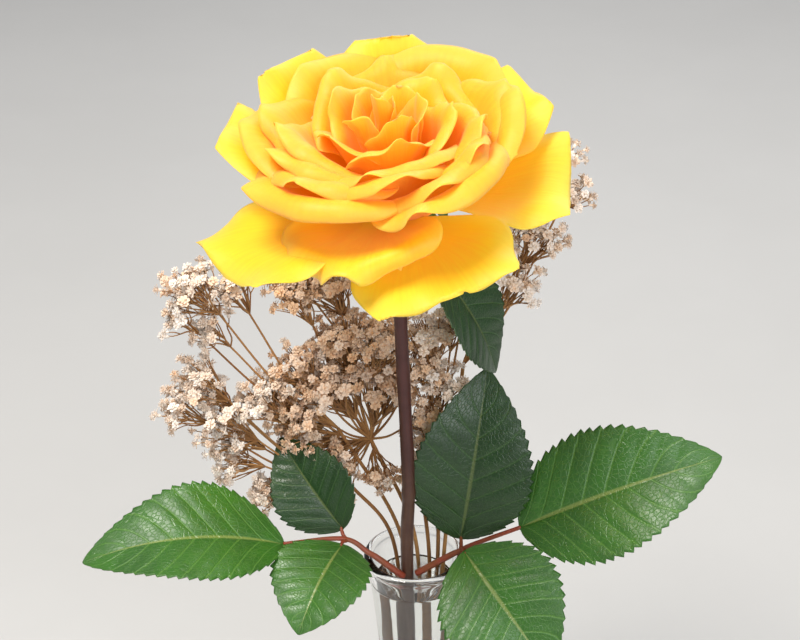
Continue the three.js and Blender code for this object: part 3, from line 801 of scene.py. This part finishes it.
hip_profile = [
    (0.05, -11.2), (2.6, -11), (4.2, -9.4), (5.6, -7.2), (6.2, -5.0), (5.9, -3.2), (5.0, -2.0), (3.6, -1.2),
    (0.05, -1.0),
]
hip_curve = smooth_path(np.pad(hip_profile, ((0, 0), (0, 1))), 40)[:, :2]
hip_points, hip_faces = turned(np.maximum(hip_curve, [[0.05, -20]]), 32)
hip_round = np.arctan2(hip_points[:, 1], hip_points[:, 0]) / 6.3 + 0.5
parts, maps = [(hip_points, hip_faces)], [np.stack([hip_round, hip_points[:, 2] / 20], -1)]
for i in range(5):
    grid, uv = sepal_grid(-166 + 72 * i, 38 * (1 + 0.1 * wobble(i, 3)), 6.5, -112 + 10 * wobble(i, 5))
    points, faces = sheet(grid, np.full(grid.shape[:2], 0.6))
    parts.append((points, [tuple(face) for face in faces.tolist()]))
    maps.append(both(uv))
points, faces = joined(parts)
sepal_green = stalk_finish(
    "sepal_finish", rgb(0.10, 0.19, 0.035), rgb(0.13, 0.24, 0.045), rgb(0.07, 0.12, 0.02), (0.2, 0.3), 0.5, 6.0,
)
new_piece("calyx_leafy", from_bloom(points), faces, sepal_green, ["calyx"], np.concatenate(maps))
print("calyx:", len(points), "points")

# %% [markdown]
# ## Rose leaves
# A leaflet is a pointed oval with a saw edge. Its midrib is sunk, its side veins run out and forward to the
# margin, and the blade puffs up a little between them. The outline, the puffing and the bow are in the mesh.
# The finest net of veins is in the material.


# %% Leaf surface
def leaf_grid(leaf, rows=121, columns=41):
    """A leaflet over its base, tip and facing, in millimetres, with its map.

    Half-width: sin(pi v^0.8)^0.8, cut by teeth that lean forward. Height: a fold at the midrib, a bow along
    the length, and a puff between side veins that vanishes at the midrib and the margin.
    """
    start, tip = above_rim([leaf["base"], leaf["tip"]])
    along = tip - start
    length = np.linalg.norm(along)
    forward = along / length
    side = unit(np.cross(forward, np.asarray(leaf["face"], float)))
    normal = np.cross(side, forward)
    u, v = np.meshgrid(np.linspace(-1, 1, columns), np.linspace(0, 1, rows))
    teeth = (v * leaf["teeth"] + 0.3 * np.sign(u)) % 1
    outline = np.sin(np.pi * v**0.8) ** 0.8
    half = leaf["width"] / 2 * outline * (1 + 0.09 * (teeth - 0.6) * np.abs(u) ** 4) + 0.3
    fold = np.abs(u) * half * math.sin(math.radians(10))
    bow = 4 * leaf["bow"] * v * (1 - v)
    phase = v * leaf["veins"] - np.abs(u) * 1.9 * outline
    puff = 0.55 * np.abs(np.sin(np.pi * phase)) ** 0.7 * np.sin(np.pi * np.abs(u)) * np.clip(outline, 0, 1)
    rib = -0.5 * np.exp(-((u / 0.06) ** 2)) * (1 - v)
    wave = leaf.get("wave", 1.2) * np.sin(v * 7 + leaf["width"] + u) * np.abs(u) ** 3 * outline
    height = fold + bow + puff + rib + wave
    grid = start + v[..., None] * along + (u * half)[..., None] * side + height[..., None] * normal
    grid += (leaf.get("sway", 0) * np.sin(np.pi * v))[..., None] * side
    return grid, np.stack([u / 2 + 0.5, v], -1)


leaflets = [
    dict(
        name="left_leaflet_end", base=(-47, -6, 8), tip=(-118, -20, 10),
        face=(-0.1, -0.35, 1), width=42, bow=9, veins=9, teeth=20,
    ),
    dict(
        name="left_leaflet_front", base=(-26, -6, 8), tip=(-41, -38, -8),
        face=(-0.2, -0.5, 1), width=37, bow=4, veins=7, teeth=13,
    ),
    dict(
        name="left_leaflet_back", base=(-26, 2, 9), tip=(-49, 20, 37),
        face=(-0.5, -0.8, 0.9), width=30, bow=4, veins=7, teeth=13,
    ),
    dict(
        name="right_leaflet_end", base=(38, -4, 14), tip=(108, -8, 47),
        face=(-0.35, -0.8, 0.75), width=47, bow=6, veins=9, teeth=21,
    ),
    dict(
        name="right_leaflet_back", base=(17, 3, 4), tip=(26, 16, 69),
        face=(0, -1, 0.35), width=43, bow=6, veins=8, teeth=19,
    ),
    dict(
        name="right_leaflet_front", base=(18, -6, 5), tip=(49, -36, -27),
        face=(-0.2, -0.7, 0.8), width=46, bow=6, veins=8, teeth=16,
    ),
    dict(
        name="upper_leaf", base=(6, 10, 114), tip=(29, 17, 67),
        face=(0.75, -0.5, 0.35), width=30, bow=4, veins=8, teeth=15,
    ),
]

# %% [markdown]
# ### Leaf finish
# The veins are drawn from the leaf's own map. Half the width and the length are numbers from 0 to 1, so the
# side veins are the places where "length times the number of veins, less a slant for the distance from the
# midrib" is a whole number. The group puts out masks for the midrib, the side veins and the net.

# %% Veins
veins, veins_in, veins_out = new_group(
    "leaf_veins",
    [("Veins", "Float", 8.0), ("Slant", "Float", 1.7), ("Net", "Float", 26.0)],
    [("Midrib", "Float"), ("Side veins", "Float"), ("Net", "Float")],
)
leaf_uv = node(veins, "SeparateXYZ", {0: node(veins, "UVMap", uv_map="UVMap").outputs["UV"]})
from_midrib = sums(veins, "ABSOLUTE", sums(veins, "MULTIPLY_ADD", leaf_uv.outputs["X"], 2.0, -1.0))
slanted = sums(veins, "MULTIPLY", from_midrib, veins_in.outputs["Slant"])
order = sums(veins, "SUBTRACT", sums(veins, "MULTIPLY", leaf_uv.outputs["Y"], veins_in.outputs["Veins"]), slanted)
within_order = sums(veins, "FRACT", sums(veins, "ADD", order, 0.5))
from_vein = sums(veins, "ABSOLUTE", sums(veins, "SUBTRACT", within_order, 0.5))
midrib_width = sums(veins, "MULTIPLY_ADD", leaf_uv.outputs["Y"], -0.035, 0.05)
midrib = sums(veins, "SUBTRACT", 1.0, fade(veins, sums(veins, "DIVIDE", from_midrib, midrib_width), 0.4, 1.3))
net_place = node(
    veins, "CombineXYZ",
    {
        "X": sums(veins, "MULTIPLY", leaf_uv.outputs["X"], 1.0),
        "Y": sums(veins, "MULTIPLY", leaf_uv.outputs["Y"], 1.6),
    },
)
net_inputs = {"Vector": net_place.outputs[0], "Scale": veins_in.outputs["Net"]}
net = node(veins, "TexVoronoi", net_inputs, feature="DISTANCE_TO_EDGE")
veins.links.new(midrib, veins_out.inputs["Midrib"])
veins.links.new(sums(veins, "SUBTRACT", 1.0, fade(veins, from_vein, 0.01, 0.09)), veins_out.inputs["Side veins"])
net_lines = sums(veins, "SUBTRACT", 1.0, fade(veins, net.outputs["Distance"], 0.0, 0.12))
veins.links.new(net_lines, veins_out.inputs["Net"])
print("group:", veins.name)


# %% Leaf materials
def leaf_finish(name, blade, dark, vein, rib, count, seed):
    """A waxy leaf: cloudy green, paler veins, a coloured midrib, and relief that follows the veins."""
    made, tree, shader = new_material(name, Coat_Weight=0.12, Coat_Roughness=0.3, Specular_IOR_Level=0.5)
    drawn = use(tree, veins, {"Veins": count, "Slant": 1.9, "Net": 24.0})
    clouded = use(tree, mottle, {"Colour": blade, "Patches": dark, "Scale": 55.0, "Amount": 0.7, "Seed": seed})
    netted = blend(tree, sums(tree, "MULTIPLY", drawn.outputs["Net"], 0.22), clouded.outputs["Colour"], vein)
    veined = blend(tree, sums(tree, "MULTIPLY", drawn.outputs["Side veins"], 0.55), netted, vein)
    ribbed = blend(tree, sums(tree, "MULTIPLY", drawn.outputs["Midrib"], 0.85), veined, rib)
    underside = node(tree, "Attribute", attribute_name="underside").outputs["Fac"]
    colour = blend(tree, sums(tree, "MULTIPLY", underside, 0.6), ribbed, rgb(0.20, 0.30, 0.12))
    puffed = sums(tree, "MULTIPLY", clouded.outputs["Mask"], 0.25)
    side_grooves = sums(tree, "MULTIPLY", drawn.outputs["Side veins"], 0.7)
    fine_grooves = sums(tree, "MULTIPLY", drawn.outputs["Net"], 0.3)
    relief_height = sums(tree, "SUBTRACT", puffed, sums(tree, "ADD", side_grooves, fine_grooves))
    relief = node(tree, "Bump", {"Height": relief_height, "Strength": 0.45, "Distance": 0.0006})
    rough = node(tree, "MapRange", {"Value": clouded.outputs["Mask"], "To Min": 0.30, "To Max": 0.48})
    drive(tree, shader, Base_Color=colour, Roughness=rough.outputs["Result"], Normal=relief.outputs["Normal"])
    return made


# Two copies of one leaf finish: the lit one, and a much darker one that is painted shade for the leaflets that lie
# in shadow.
lit_leaf = leaf_finish(
    "lit_leaf_finish", rgb(0.040, 0.150, 0.014), rgb(0.020, 0.085, 0.008),
    rgb(0.11, 0.26, 0.04), rgb(0.20, 0.27, 0.06), 9.0, 7.0,
)
painted_shade_leaf = leaf_finish(
    "painted_shade_leaf_finish", rgb(0.014, 0.055, 0.009), rgb(0.007, 0.030, 0.005),
    rgb(0.04, 0.11, 0.02), rgb(0.09, 0.13, 0.03), 8.0, 8.0,
)

# %% Leaf pieces
for leaf in leaflets:
    grid, uv = leaf_grid(leaf)
    points, faces = sheet(grid, np.full(grid.shape[:2], 0.45))
    underside = np.repeat([0.0, 1.0], len(points) // 2)
    # The two back leaflets and the upper leaf lie in shadow; their darker finish is painted shade.
    shaded = leaf["name"] in ("left_leaflet_back", "right_leaflet_back", "upper_leaf")
    new_piece(
        leaf["name"] + "_blade", points, faces, painted_shade_leaf if shaded else lit_leaf, [leaf["name"]],
        both(uv), {"underside": underside},
    )
print(len(leaflets), "leaflets")

# %% [markdown]
# ### Leaf stalks
# Each leaf hangs on a red stalk that leaves the stem inside the mouth of the vase, rests on the lip and
# forks to its leaflets. A stalk is thickest where it leaves the stem.


# %% Leaf stalks
def stalk(points, thick, thin, count=60, sides=12):
    """A tapering round stalk through points above the rim."""
    path = smooth_path(above_rim(points), count)
    radii = np.linspace(thick, thin, count)
    made_points, made_faces = tube(path, radii, sides)
    return made_points, made_faces, tube_map(path, sides)


def stalk_piece(name, stalks, replaces):
    """Several stalks as one piece."""
    points, faces = joined([(points, faces) for points, faces, _ in stalks])
    new_piece(name, points, faces, petiole, replaces, np.concatenate([uv for _, _, uv in stalks]))


over_lip = mouth_radius - 1.6
stalk_piece(
    "left_leaf_stalk",
    [
        stalk(
            [(-3.8, -4, -8), (4 - over_lip, -4, 0), (-over_lip, -3, 2.3),
            (-26, -2, 7.6), (-47.5, -6, 8.2)], 1.3, 0.75,
        ),
        stalk([(-24.5, -2.1, 7), (-26, -4, 7.6), (-26.6, -7, 7.8)], 0.8, 0.6, 16),
        stalk([(-24.5, -2, 7), (-26, 0, 8), (-27, 3.2, 10)], 0.8, 0.6, 16),
    ],
    ["left_rachis"],
)
stalk_piece(
    "right_leaf_stalk",
    [
        stalk(
            [(0.8, -2, -8), (over_lip - 4, -2, 0), (over_lip, -2, 2.3),
            (22, -2.4, 5.6), (38.6, -4, 14.2)], 1.3, 0.75,
        ),
        stalk([(17, -2, 2.6), (17.2, 0.5, 3.4), (17.2, 3.6, 5)], 0.8, 0.6, 16),
        stalk([(17.5, -2, 3), (18, -4, 4.2), (18.8, -6.8, 4.6)], 0.8, 0.6, 16),
    ],
    ["right_rachis"],
)
upper_stalk = stalk([(-5, 0.2, 116.5), (-3, 1.5, 117), (1, 5, 117.5), (6.6, 10.6, 113)], 0.9, 0.6)
stalk_piece("upper_leaf_stalk", [upper_stalk], ["upper_petiole"])
print("leaf stalks made")

# %% [markdown]
# ## Baby's breath
# A sprig of baby's breath forks again and again, and each last twig ends in one small, ruffled, double
# flower. A head of them is built the same way: a branch from the sprig's fork, a few twigs that spread from
# its end, and two or three thin stalks on each twig, each with its floret. Dried, they are cream at the
# outside and tan inside.


# %% One floret
def floret(seed):
    """A double floret about 1 unit in radius: three rings of spoon-shaped petals over a small cup.

    Each petal is a strip of two cells, wide at the end, that rises and curls with the distance from the
    middle. The inner rings are shorter and stand more upright.
    """
    rng = np.random.default_rng(seed)
    points, faces = [], []
    for count, reach, lift, start in ((6, 1.0, 0.25, 0.0), (5, 0.78, 0.62, 0.5), (3, 0.5, 0.85, 0.2)):
        for k in range(count):
            turn = (k + start + rng.uniform(-0.2, 0.2)) / count * 2 * np.pi
            out = np.array([math.cos(turn), math.sin(turn), 0])
            side = np.array([-math.sin(turn), math.cos(turn), 0])
            r = reach * rng.uniform(0.85, 1.1)
            rise = lift + rng.uniform(-0.1, 0.12)
            first = len(points)
            for share, width, height in ((0.08, 0.1, 0.0), (0.62, 0.36, rise), (1.0, 0.20, rise * 0.9)):
                for way in (-1, 0, 1):
                    dip = 0.12 * (way == 0) * share
                    points.append(out * r * share + side * way * width * r + np.array([0, 0, height + dip]))
            for row in (0, 3):
                for col in (0, 1):
                    a = first + row + col
                    faces.append((a, a + 3, a + 4, a + 1))
    cup, cup_faces = turned([(0.08, -0.75), (0.34, -0.3), (0.22, 0.12)], 5)
    faces += [tuple(i + len(points) for i in face) for face in cup_faces]
    return np.concatenate([np.array(points), cup]), faces


florets = [floret(seed) for seed in range(5)]
print("faces in a floret:", [len(faces) for _, faces in florets])


# %% Many florets at once
def placed(template, places, sizes, ways, spins):
    """Copies of a template's points, each scaled, spun about Z, turned so that Z points its way, and moved."""
    points, faces = template
    ways = unit(ways)
    helper = np.where(np.abs(ways[:, 2:]) < 0.9, [[0.0, 0.0, 1.0]], [[1.0, 0.0, 0.0]])
    first = unit(np.cross(helper, ways))
    second = np.cross(ways, first)
    spun_x = np.cos(spins)[:, None] * first + np.sin(spins)[:, None] * second
    spun_y = np.cross(ways, spun_x)
    frames = np.stack([spun_x, spun_y, ways], axis=1)
    copies = np.einsum("pk,nkj->npj", points, frames) * sizes[:, None, None] + places[:, None]
    starts = np.arange(len(places)) * len(points)
    all_faces = [tuple(i + int(start) for i in face) for start in starts for face in faces]
    return copies.reshape(-1, 3), all_faces


def ball_points(count, rng):
    """Directions spread over a ball as a sunflower's seeds are, with a little play."""
    index = np.arange(count)
    height = 1 - 2 * (index + 0.5) / count
    ring = np.sqrt(1 - height**2)
    turn = index * math.pi * (3 - math.sqrt(5)) + rng.uniform(0, 6)
    spread = np.stack([ring * np.cos(turn), ring * np.sin(turn), height], -1)
    return unit(spread + rng.normal(0, 0.18, (count, 3)))


# %% [markdown]
# ### The sprigs
# Each sprig has the way of its main stem, from the cut end in the water to its fork, and the heads that it
# carries, each with its middle, its radius and its fullness, from which its number of florets is worked out.

# %% Where the sprigs run
sprigs = [
    dict(
        name="sprig_left_low",
        way=[(-3.6, 2.6, -132), (-3.4, 3.2, -100), (-4, 7, -50), (-8, 9, 0), (-24, 13, 22)],
        heads=[
            (-76, 20, 60, 8, 12), (-84, 17, 50, 7, 8), (-68, 17, 44, 9, 14), (-64, 15, 30, 7, 9),
            (-53, 12, 17, 6, 6), (-52, 21, 52, 9, 12), (-55, 20, 52, 7, 9), (-62, 18, 37, 6, 7),
            (-52, 14, 18, 5, 5), (-72, 20, 55, 5, 6),
        ],
    ),
    dict(
        name="sprig_left_high",
        way=[(-1.2, 4.6, -132), (-0.6, 4.6, -100), (-1, 8, -50), (-5, 12, 0), (-28, 22, 40)],
        heads=[(-77, 20, 98, 9, 14), (-64, 24, 95, 7, 9), (-83, 20, 86, 6, 5), (-72, 22, 80, 6, 6)],
    ),
    dict(
        name="sprig_middle",
        way=[(1.4, 4.8, -132), (2, 4.4, -100), (2.4, 8, -50), (0, 13, 0), (-16, 24, 34)],
        heads=[
            (-43, 24, 46, 10, 18), (-29, 27, 53, 10, 20), (-14, 26, 52, 10, 20), (-34, 22, 32, 8, 12),
            (-25, 30, 72, 9, 16), (-10, 26, 72, 8, 12), (-26, 14, 19, 6, 7), (-42, 26, 62, 8, 12),
            (-28, 30, 68, 8, 13), (-15, 24, 71, 8, 13), (-37, 20, 40, 8, 12), (-25, 20, 31, 7, 11),
            (-13, 18, 24, 6, 8), (2, 24, 64, 7, 11), (-31, 22, 56, 8, 12), (4, 20, 45, 6, 8),
            (-7, 28, 51, 7, 10), (-41, 30, 89, 8, 11), (-28, 32, 92, 7, 9),
        ],
    ),
    dict(
        name="sprig_upper",
        way=[(3.8, 3.2, -132), (4.4, 2.8, -100), (5.4, 6, -50), (5, 13, 0), (-6, 32, 54)],
        heads=[(-31, 35, 90, 9, 16), (-44, 34, 96, 7, 9), (-17, 36, 94, 9, 14)],
    ),
    dict(
        name="sprig_right",
        way=[(4.8, 0.6, -132), (5.2, 0.2, -100), (7, 3, -50), (9, 10, 0), (7, 18, 30)],
        heads=[
            (6, 24, 76, 9, 15), (8, 22, 57, 8, 13), (5, 20, 38, 7, 9), (18, 27, 88, 7, 9),
            (14, 26, 79, 6, 8), (5, 16, 32, 5, 6),
        ],
    ),
    dict(
        name="sprig_right_high",
        way=[(4.2, -2.4, -132), (4.4, -2.8, -100), (8.4, -1, -50), (11.4, 6, 0), (18, 34, 60)],
        heads=[
            (29, 38, 107, 8, 14), (43, 38, 108, 8, 13), (37, 33, 92, 7, 9), (51, 41, 140, 6, 5),
            (54, 38, 126, 6, 7),
        ],
    ),
]


# %% Sprig finish
def dried_finish(name, fresh, dry, patches, attribute, seed):
    """A dry papery finish that goes from fresh to dry by a number that the mesh carries."""
    made, tree, shader = new_material(name, Sheen_Weight=0.1, Sheen_Roughness=0.6, Specular_IOR_Level=0.25)
    tint = node(tree, "Attribute", attribute_name=attribute).outputs["Fac"]
    base = blend(tree, tint, fresh, dry)
    clouded = use(tree, mottle, {"Colour": base, "Patches": patches, "Scale": 900.0, "Amount": 0.5, "Seed": seed})
    relief = node(tree, "Bump", {"Height": clouded.outputs["Mask"], "Strength": 0.35, "Distance": 0.0003})
    rough = node(tree, "MapRange", {"Value": clouded.outputs["Mask"], "To Min": 0.7, "To Max": 0.95})
    drive(
        tree, shader, Base_Color=clouded.outputs["Colour"], Roughness=rough.outputs["Result"],
        Normal=relief.outputs["Normal"],
    )
    return made


floret_cream = dried_finish(
    "floret_finish", rgb(0.99, 0.93, 0.87), rgb(0.90, 0.60, 0.36), rgb(0.94, 0.76, 0.58), "dryness", 9.0,
)
twig_tan = dried_finish(
    "twig_finish", rgb(0.46, 0.24, 0.08), rgb(0.26, 0.11, 0.03), rgb(0.30, 0.14, 0.05), "dryness", 10.0,
)


# %% Building a sprig
head_spread = 1.45  # share by which the florets spread past a head's radius
florets_per_fullness = 4.5


def head_parts(head, fork, rng):
    """The stalks of one head, and the place and way of each of its florets."""
    middle, radius, count = above_rim(head[:3]), head_spread * head[3], round(florets_per_fullness * head[4])
    back = unit(fork - middle)
    hub = middle + back * radius * 0.95
    sag = np.array([0, 0, -0.1 * np.linalg.norm(fork - hub)])
    branch = smooth_path([fork, (fork + hub) / 2 + sag, hub], 14)
    stalks = [(branch, np.linspace(0.55, 0.38, 14), 6)]
    ways = ball_points(count * 2, rng)
    ways = ways[np.argsort(ways @ back)][:count]
    places = middle + ways * radius * rng.uniform(0.3, 1.05, (count, 1))
    groups = max(1, round(count / 3))
    seeds = places[:: max(1, count // groups)][:groups]
    nearest = np.argmin(np.linalg.norm(places[:, None] - seeds[None], axis=-1), axis=1)
    for g in range(groups):
        own = places[nearest == g]
        knot = hub * 0.45 + own.mean(axis=0) * 0.55
        bend = (hub + knot) / 2 + rng.normal(0, 0.5, 3)
        stalks.append((smooth_path([hub, bend, knot], 7), np.linspace(0.34, 0.26, 7), 5))
        for end in own:
            root = end - unit(end - knot) * 1.1
            bend = (knot + root) / 2 + rng.normal(0, 0.4, 3)
            stalks.append((smooth_path([knot, bend, root], 5), np.linspace(0.24, 0.18, 5), 4))
    knots = nearest
    facing = unit(places - (hub + (seeds[knots] - hub) * 0.5)) + rng.normal(0, 0.2, places.shape)
    return stalks, places, facing


def build_sprig(sprig, index):
    """Twigs and florets of one sprig, as two pieces."""
    rng = np.random.default_rng(100 + index)
    points = above_rim(sprig["way"])
    main = smooth_path(points, 60)
    stalks = [(main, np.linspace(0.85, 0.7, 60), 8)]
    places, ways, dryness = [], [], []
    for head in sprig["heads"]:
        head_stalks, head_places, head_ways = head_parts(head, points[-1], rng)
        stalks += head_stalks
        places.append(head_places)
        ways.append(head_ways)
        inner = 0.75 if sprig["name"] in ("sprig_middle", "sprig_upper") else 0.25
        dryness.append(np.clip(inner + rng.normal(0, 0.25, len(head_places)), 0, 1))
    tubes = [tube(path, radii, sides) for path, radii, sides in stalks]
    uv = np.concatenate([tube_map(path, sides) for path, _, sides in stalks])
    twig_points, twig_faces = joined(tubes)
    aged = np.concatenate([np.full(len(p), rng.uniform(0, 1)) for p, _ in tubes])
    new_piece(sprig["name"] + "_twigs", twig_points, twig_faces, twig_tan, (), uv, {"dryness": aged})
    places, ways, dryness = map(np.concatenate, (places, ways, dryness))
    kind = rng.integers(0, len(florets), len(places))
    parts, tints = [], []
    for k, template in enumerate(florets):
        chosen = kind == k
        sizes = rng.uniform(1.6, 2.5, chosen.sum())
        parts.append(placed(template, places[chosen], sizes, ways[chosen], rng.uniform(0, 6, chosen.sum())))
        tints.append(np.repeat(dryness[chosen], len(template[0])))
    floret_points, floret_faces = joined(parts)
    new_piece(
        sprig["name"] + "_florets", floret_points, floret_faces, floret_cream, [sprig["name"]], None,
        {"dryness": np.concatenate(tints)},
    )
    return len(places)


print("florets:", [build_sprig(sprig, i) for i, sprig in enumerate(sprigs)])

# %% [markdown]
# ## Glass and water
# The vase is a profile turned on its axis: a trumpet that narrows to a waist and spreads to a disc foot. The
# glass is real, with an inside and an outside, because what shows clear glass is the light that both surfaces
# bend. The water reaches a hair into the glass, so that light passes from one to the other with no film of
# air between.


# %% Vase profile
def wall_radius(z):
    """Outer radius at a height: a waist that flares to the mouth as a power of 1.8, to the foot as one of 5."""
    up = np.clip((z - 60) / (rim - 60), 0, 1)
    down = np.clip((60 - z) / (60 - 4), 0, 1)
    return np.where(z > 60, 9.6 + (mouth_radius - 0.7 - 9.6) * up**1.8, 9.6 + (foot_radius - 9.6) * down**5)


def hollow_radius(z):
    """Radius of the hollow: the wall's thickness inside, rounded off at the bottom."""
    below = np.clip((33 - z) / 7, 0, 1)
    return (wall_radius(z) - 2.2) * np.sqrt(1 - below**2)


lip_turn = np.radians(np.linspace(-55, 205, 22))
lip = np.stack([mouth_radius - 1.6 + 1.6 * np.cos(lip_turn), rim - 1.6 + 1.6 * np.sin(lip_turn)], -1)
outside = np.linspace(4, rim - 4.2, 90)
inside = np.linspace(rim - 5.2, 33, 80)
bottom = 33 - 7 * np.sin(np.linspace(0.1, np.pi / 2, 14))
profile = np.concatenate([
    [(0.05, 0), (20, 0), (foot_radius - 1.2, 0), (foot_radius - 0.4, 0.3), (foot_radius, 1.2), (foot_radius, 2.8)],
    np.stack([wall_radius(outside), outside], -1),
    lip,
    np.stack([hollow_radius(inside), inside], -1),
    np.stack([np.maximum(hollow_radius(bottom), 0.05), bottom], -1),
])
points, faces = turned(profile, 96)
print("vase profile:", len(profile), "points")

# %% Glass
clear_glass, glass_tree, glass_shader = new_material(
    "clear_glass", Transmission_Weight=1.0, IOR=1.48, Metallic=0.0,
)
glass_marks = use(
    glass_tree, mottle,
    {
        "Colour": rgb(0.985, 0.995, 0.99), "Patches": rgb(0.96, 0.985, 0.975),
        "Scale": 25.0, "Amount": 0.6, "Seed": 11.0,
    },
)
glass_rough = node(glass_tree, "MapRange", {"Value": glass_marks.outputs["Mask"], "To Min": 0.0, "To Max": 0.03})
ripple_inputs = {"Height": glass_marks.outputs["Mask"], "Strength": 0.05, "Distance": 0.0004}
glass_ripple = node(glass_tree, "Bump", ripple_inputs)
drive(
    glass_tree, glass_shader, Base_Color=glass_marks.outputs["Colour"], Roughness=glass_rough.outputs["Result"],
    Normal=glass_ripple.outputs["Normal"],
)
new_piece("vase_glass", points, faces, clear_glass, ["vase"], points[:, ::2] * 0.02)

# %% Water
water_level = rim - 11
below_water = np.linspace(water_level - 0.9, 33, 60)
meniscus = [(0.05, 0), (0.75, 0.0), (0.93, 0.25), (1.0, 0.9)]
water_reach = hollow_radius(np.array(water_level)) + 0.05
surface = [(share * water_reach, water_level - 0.9 + height) for share, height in meniscus]
water_profile = np.concatenate([
    [(0.05, 25.95)],
    np.stack([np.maximum(hollow_radius(bottom[::-1][1:]) + 0.05, 0.06), bottom[::-1][1:] - 0.03], -1),
    np.stack([hollow_radius(below_water[::-1]) + 0.05, below_water[::-1]], -1),
    surface[::-1],
])
points, faces = turned(water_profile, 72)
still_water, water_tree, water_shader = new_material(
    "still_water", Transmission_Weight=1.0, IOR=1.333, Roughness=0.0,
)
water_tint = use(
    water_tree, mottle,
    {
        "Colour": rgb(0.985, 0.99, 0.97), "Patches": rgb(0.97, 0.98, 0.94),
        "Scale": 15.0, "Amount": 0.5, "Seed": 12.0,
    },
)
drive(water_tree, water_shader, Base_Color=water_tint.outputs["Colour"])
new_piece("vase_water", points, faces, still_water, ["water"], points[:, ::2] * 0.02)

# %% [markdown]
# ## Sizes
# Both boxes, the imported model's and the visual model's, are printed at the end. The visual model has
# to keep to the imported one's box.

# %% Print the boxes
made_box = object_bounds()
boxes = {"cad": cad_box, "visual": made_box}
for label, box in boxes.items():
    print(label, [[round(float(x) / MM, 1) for x in corner] for corner in box])
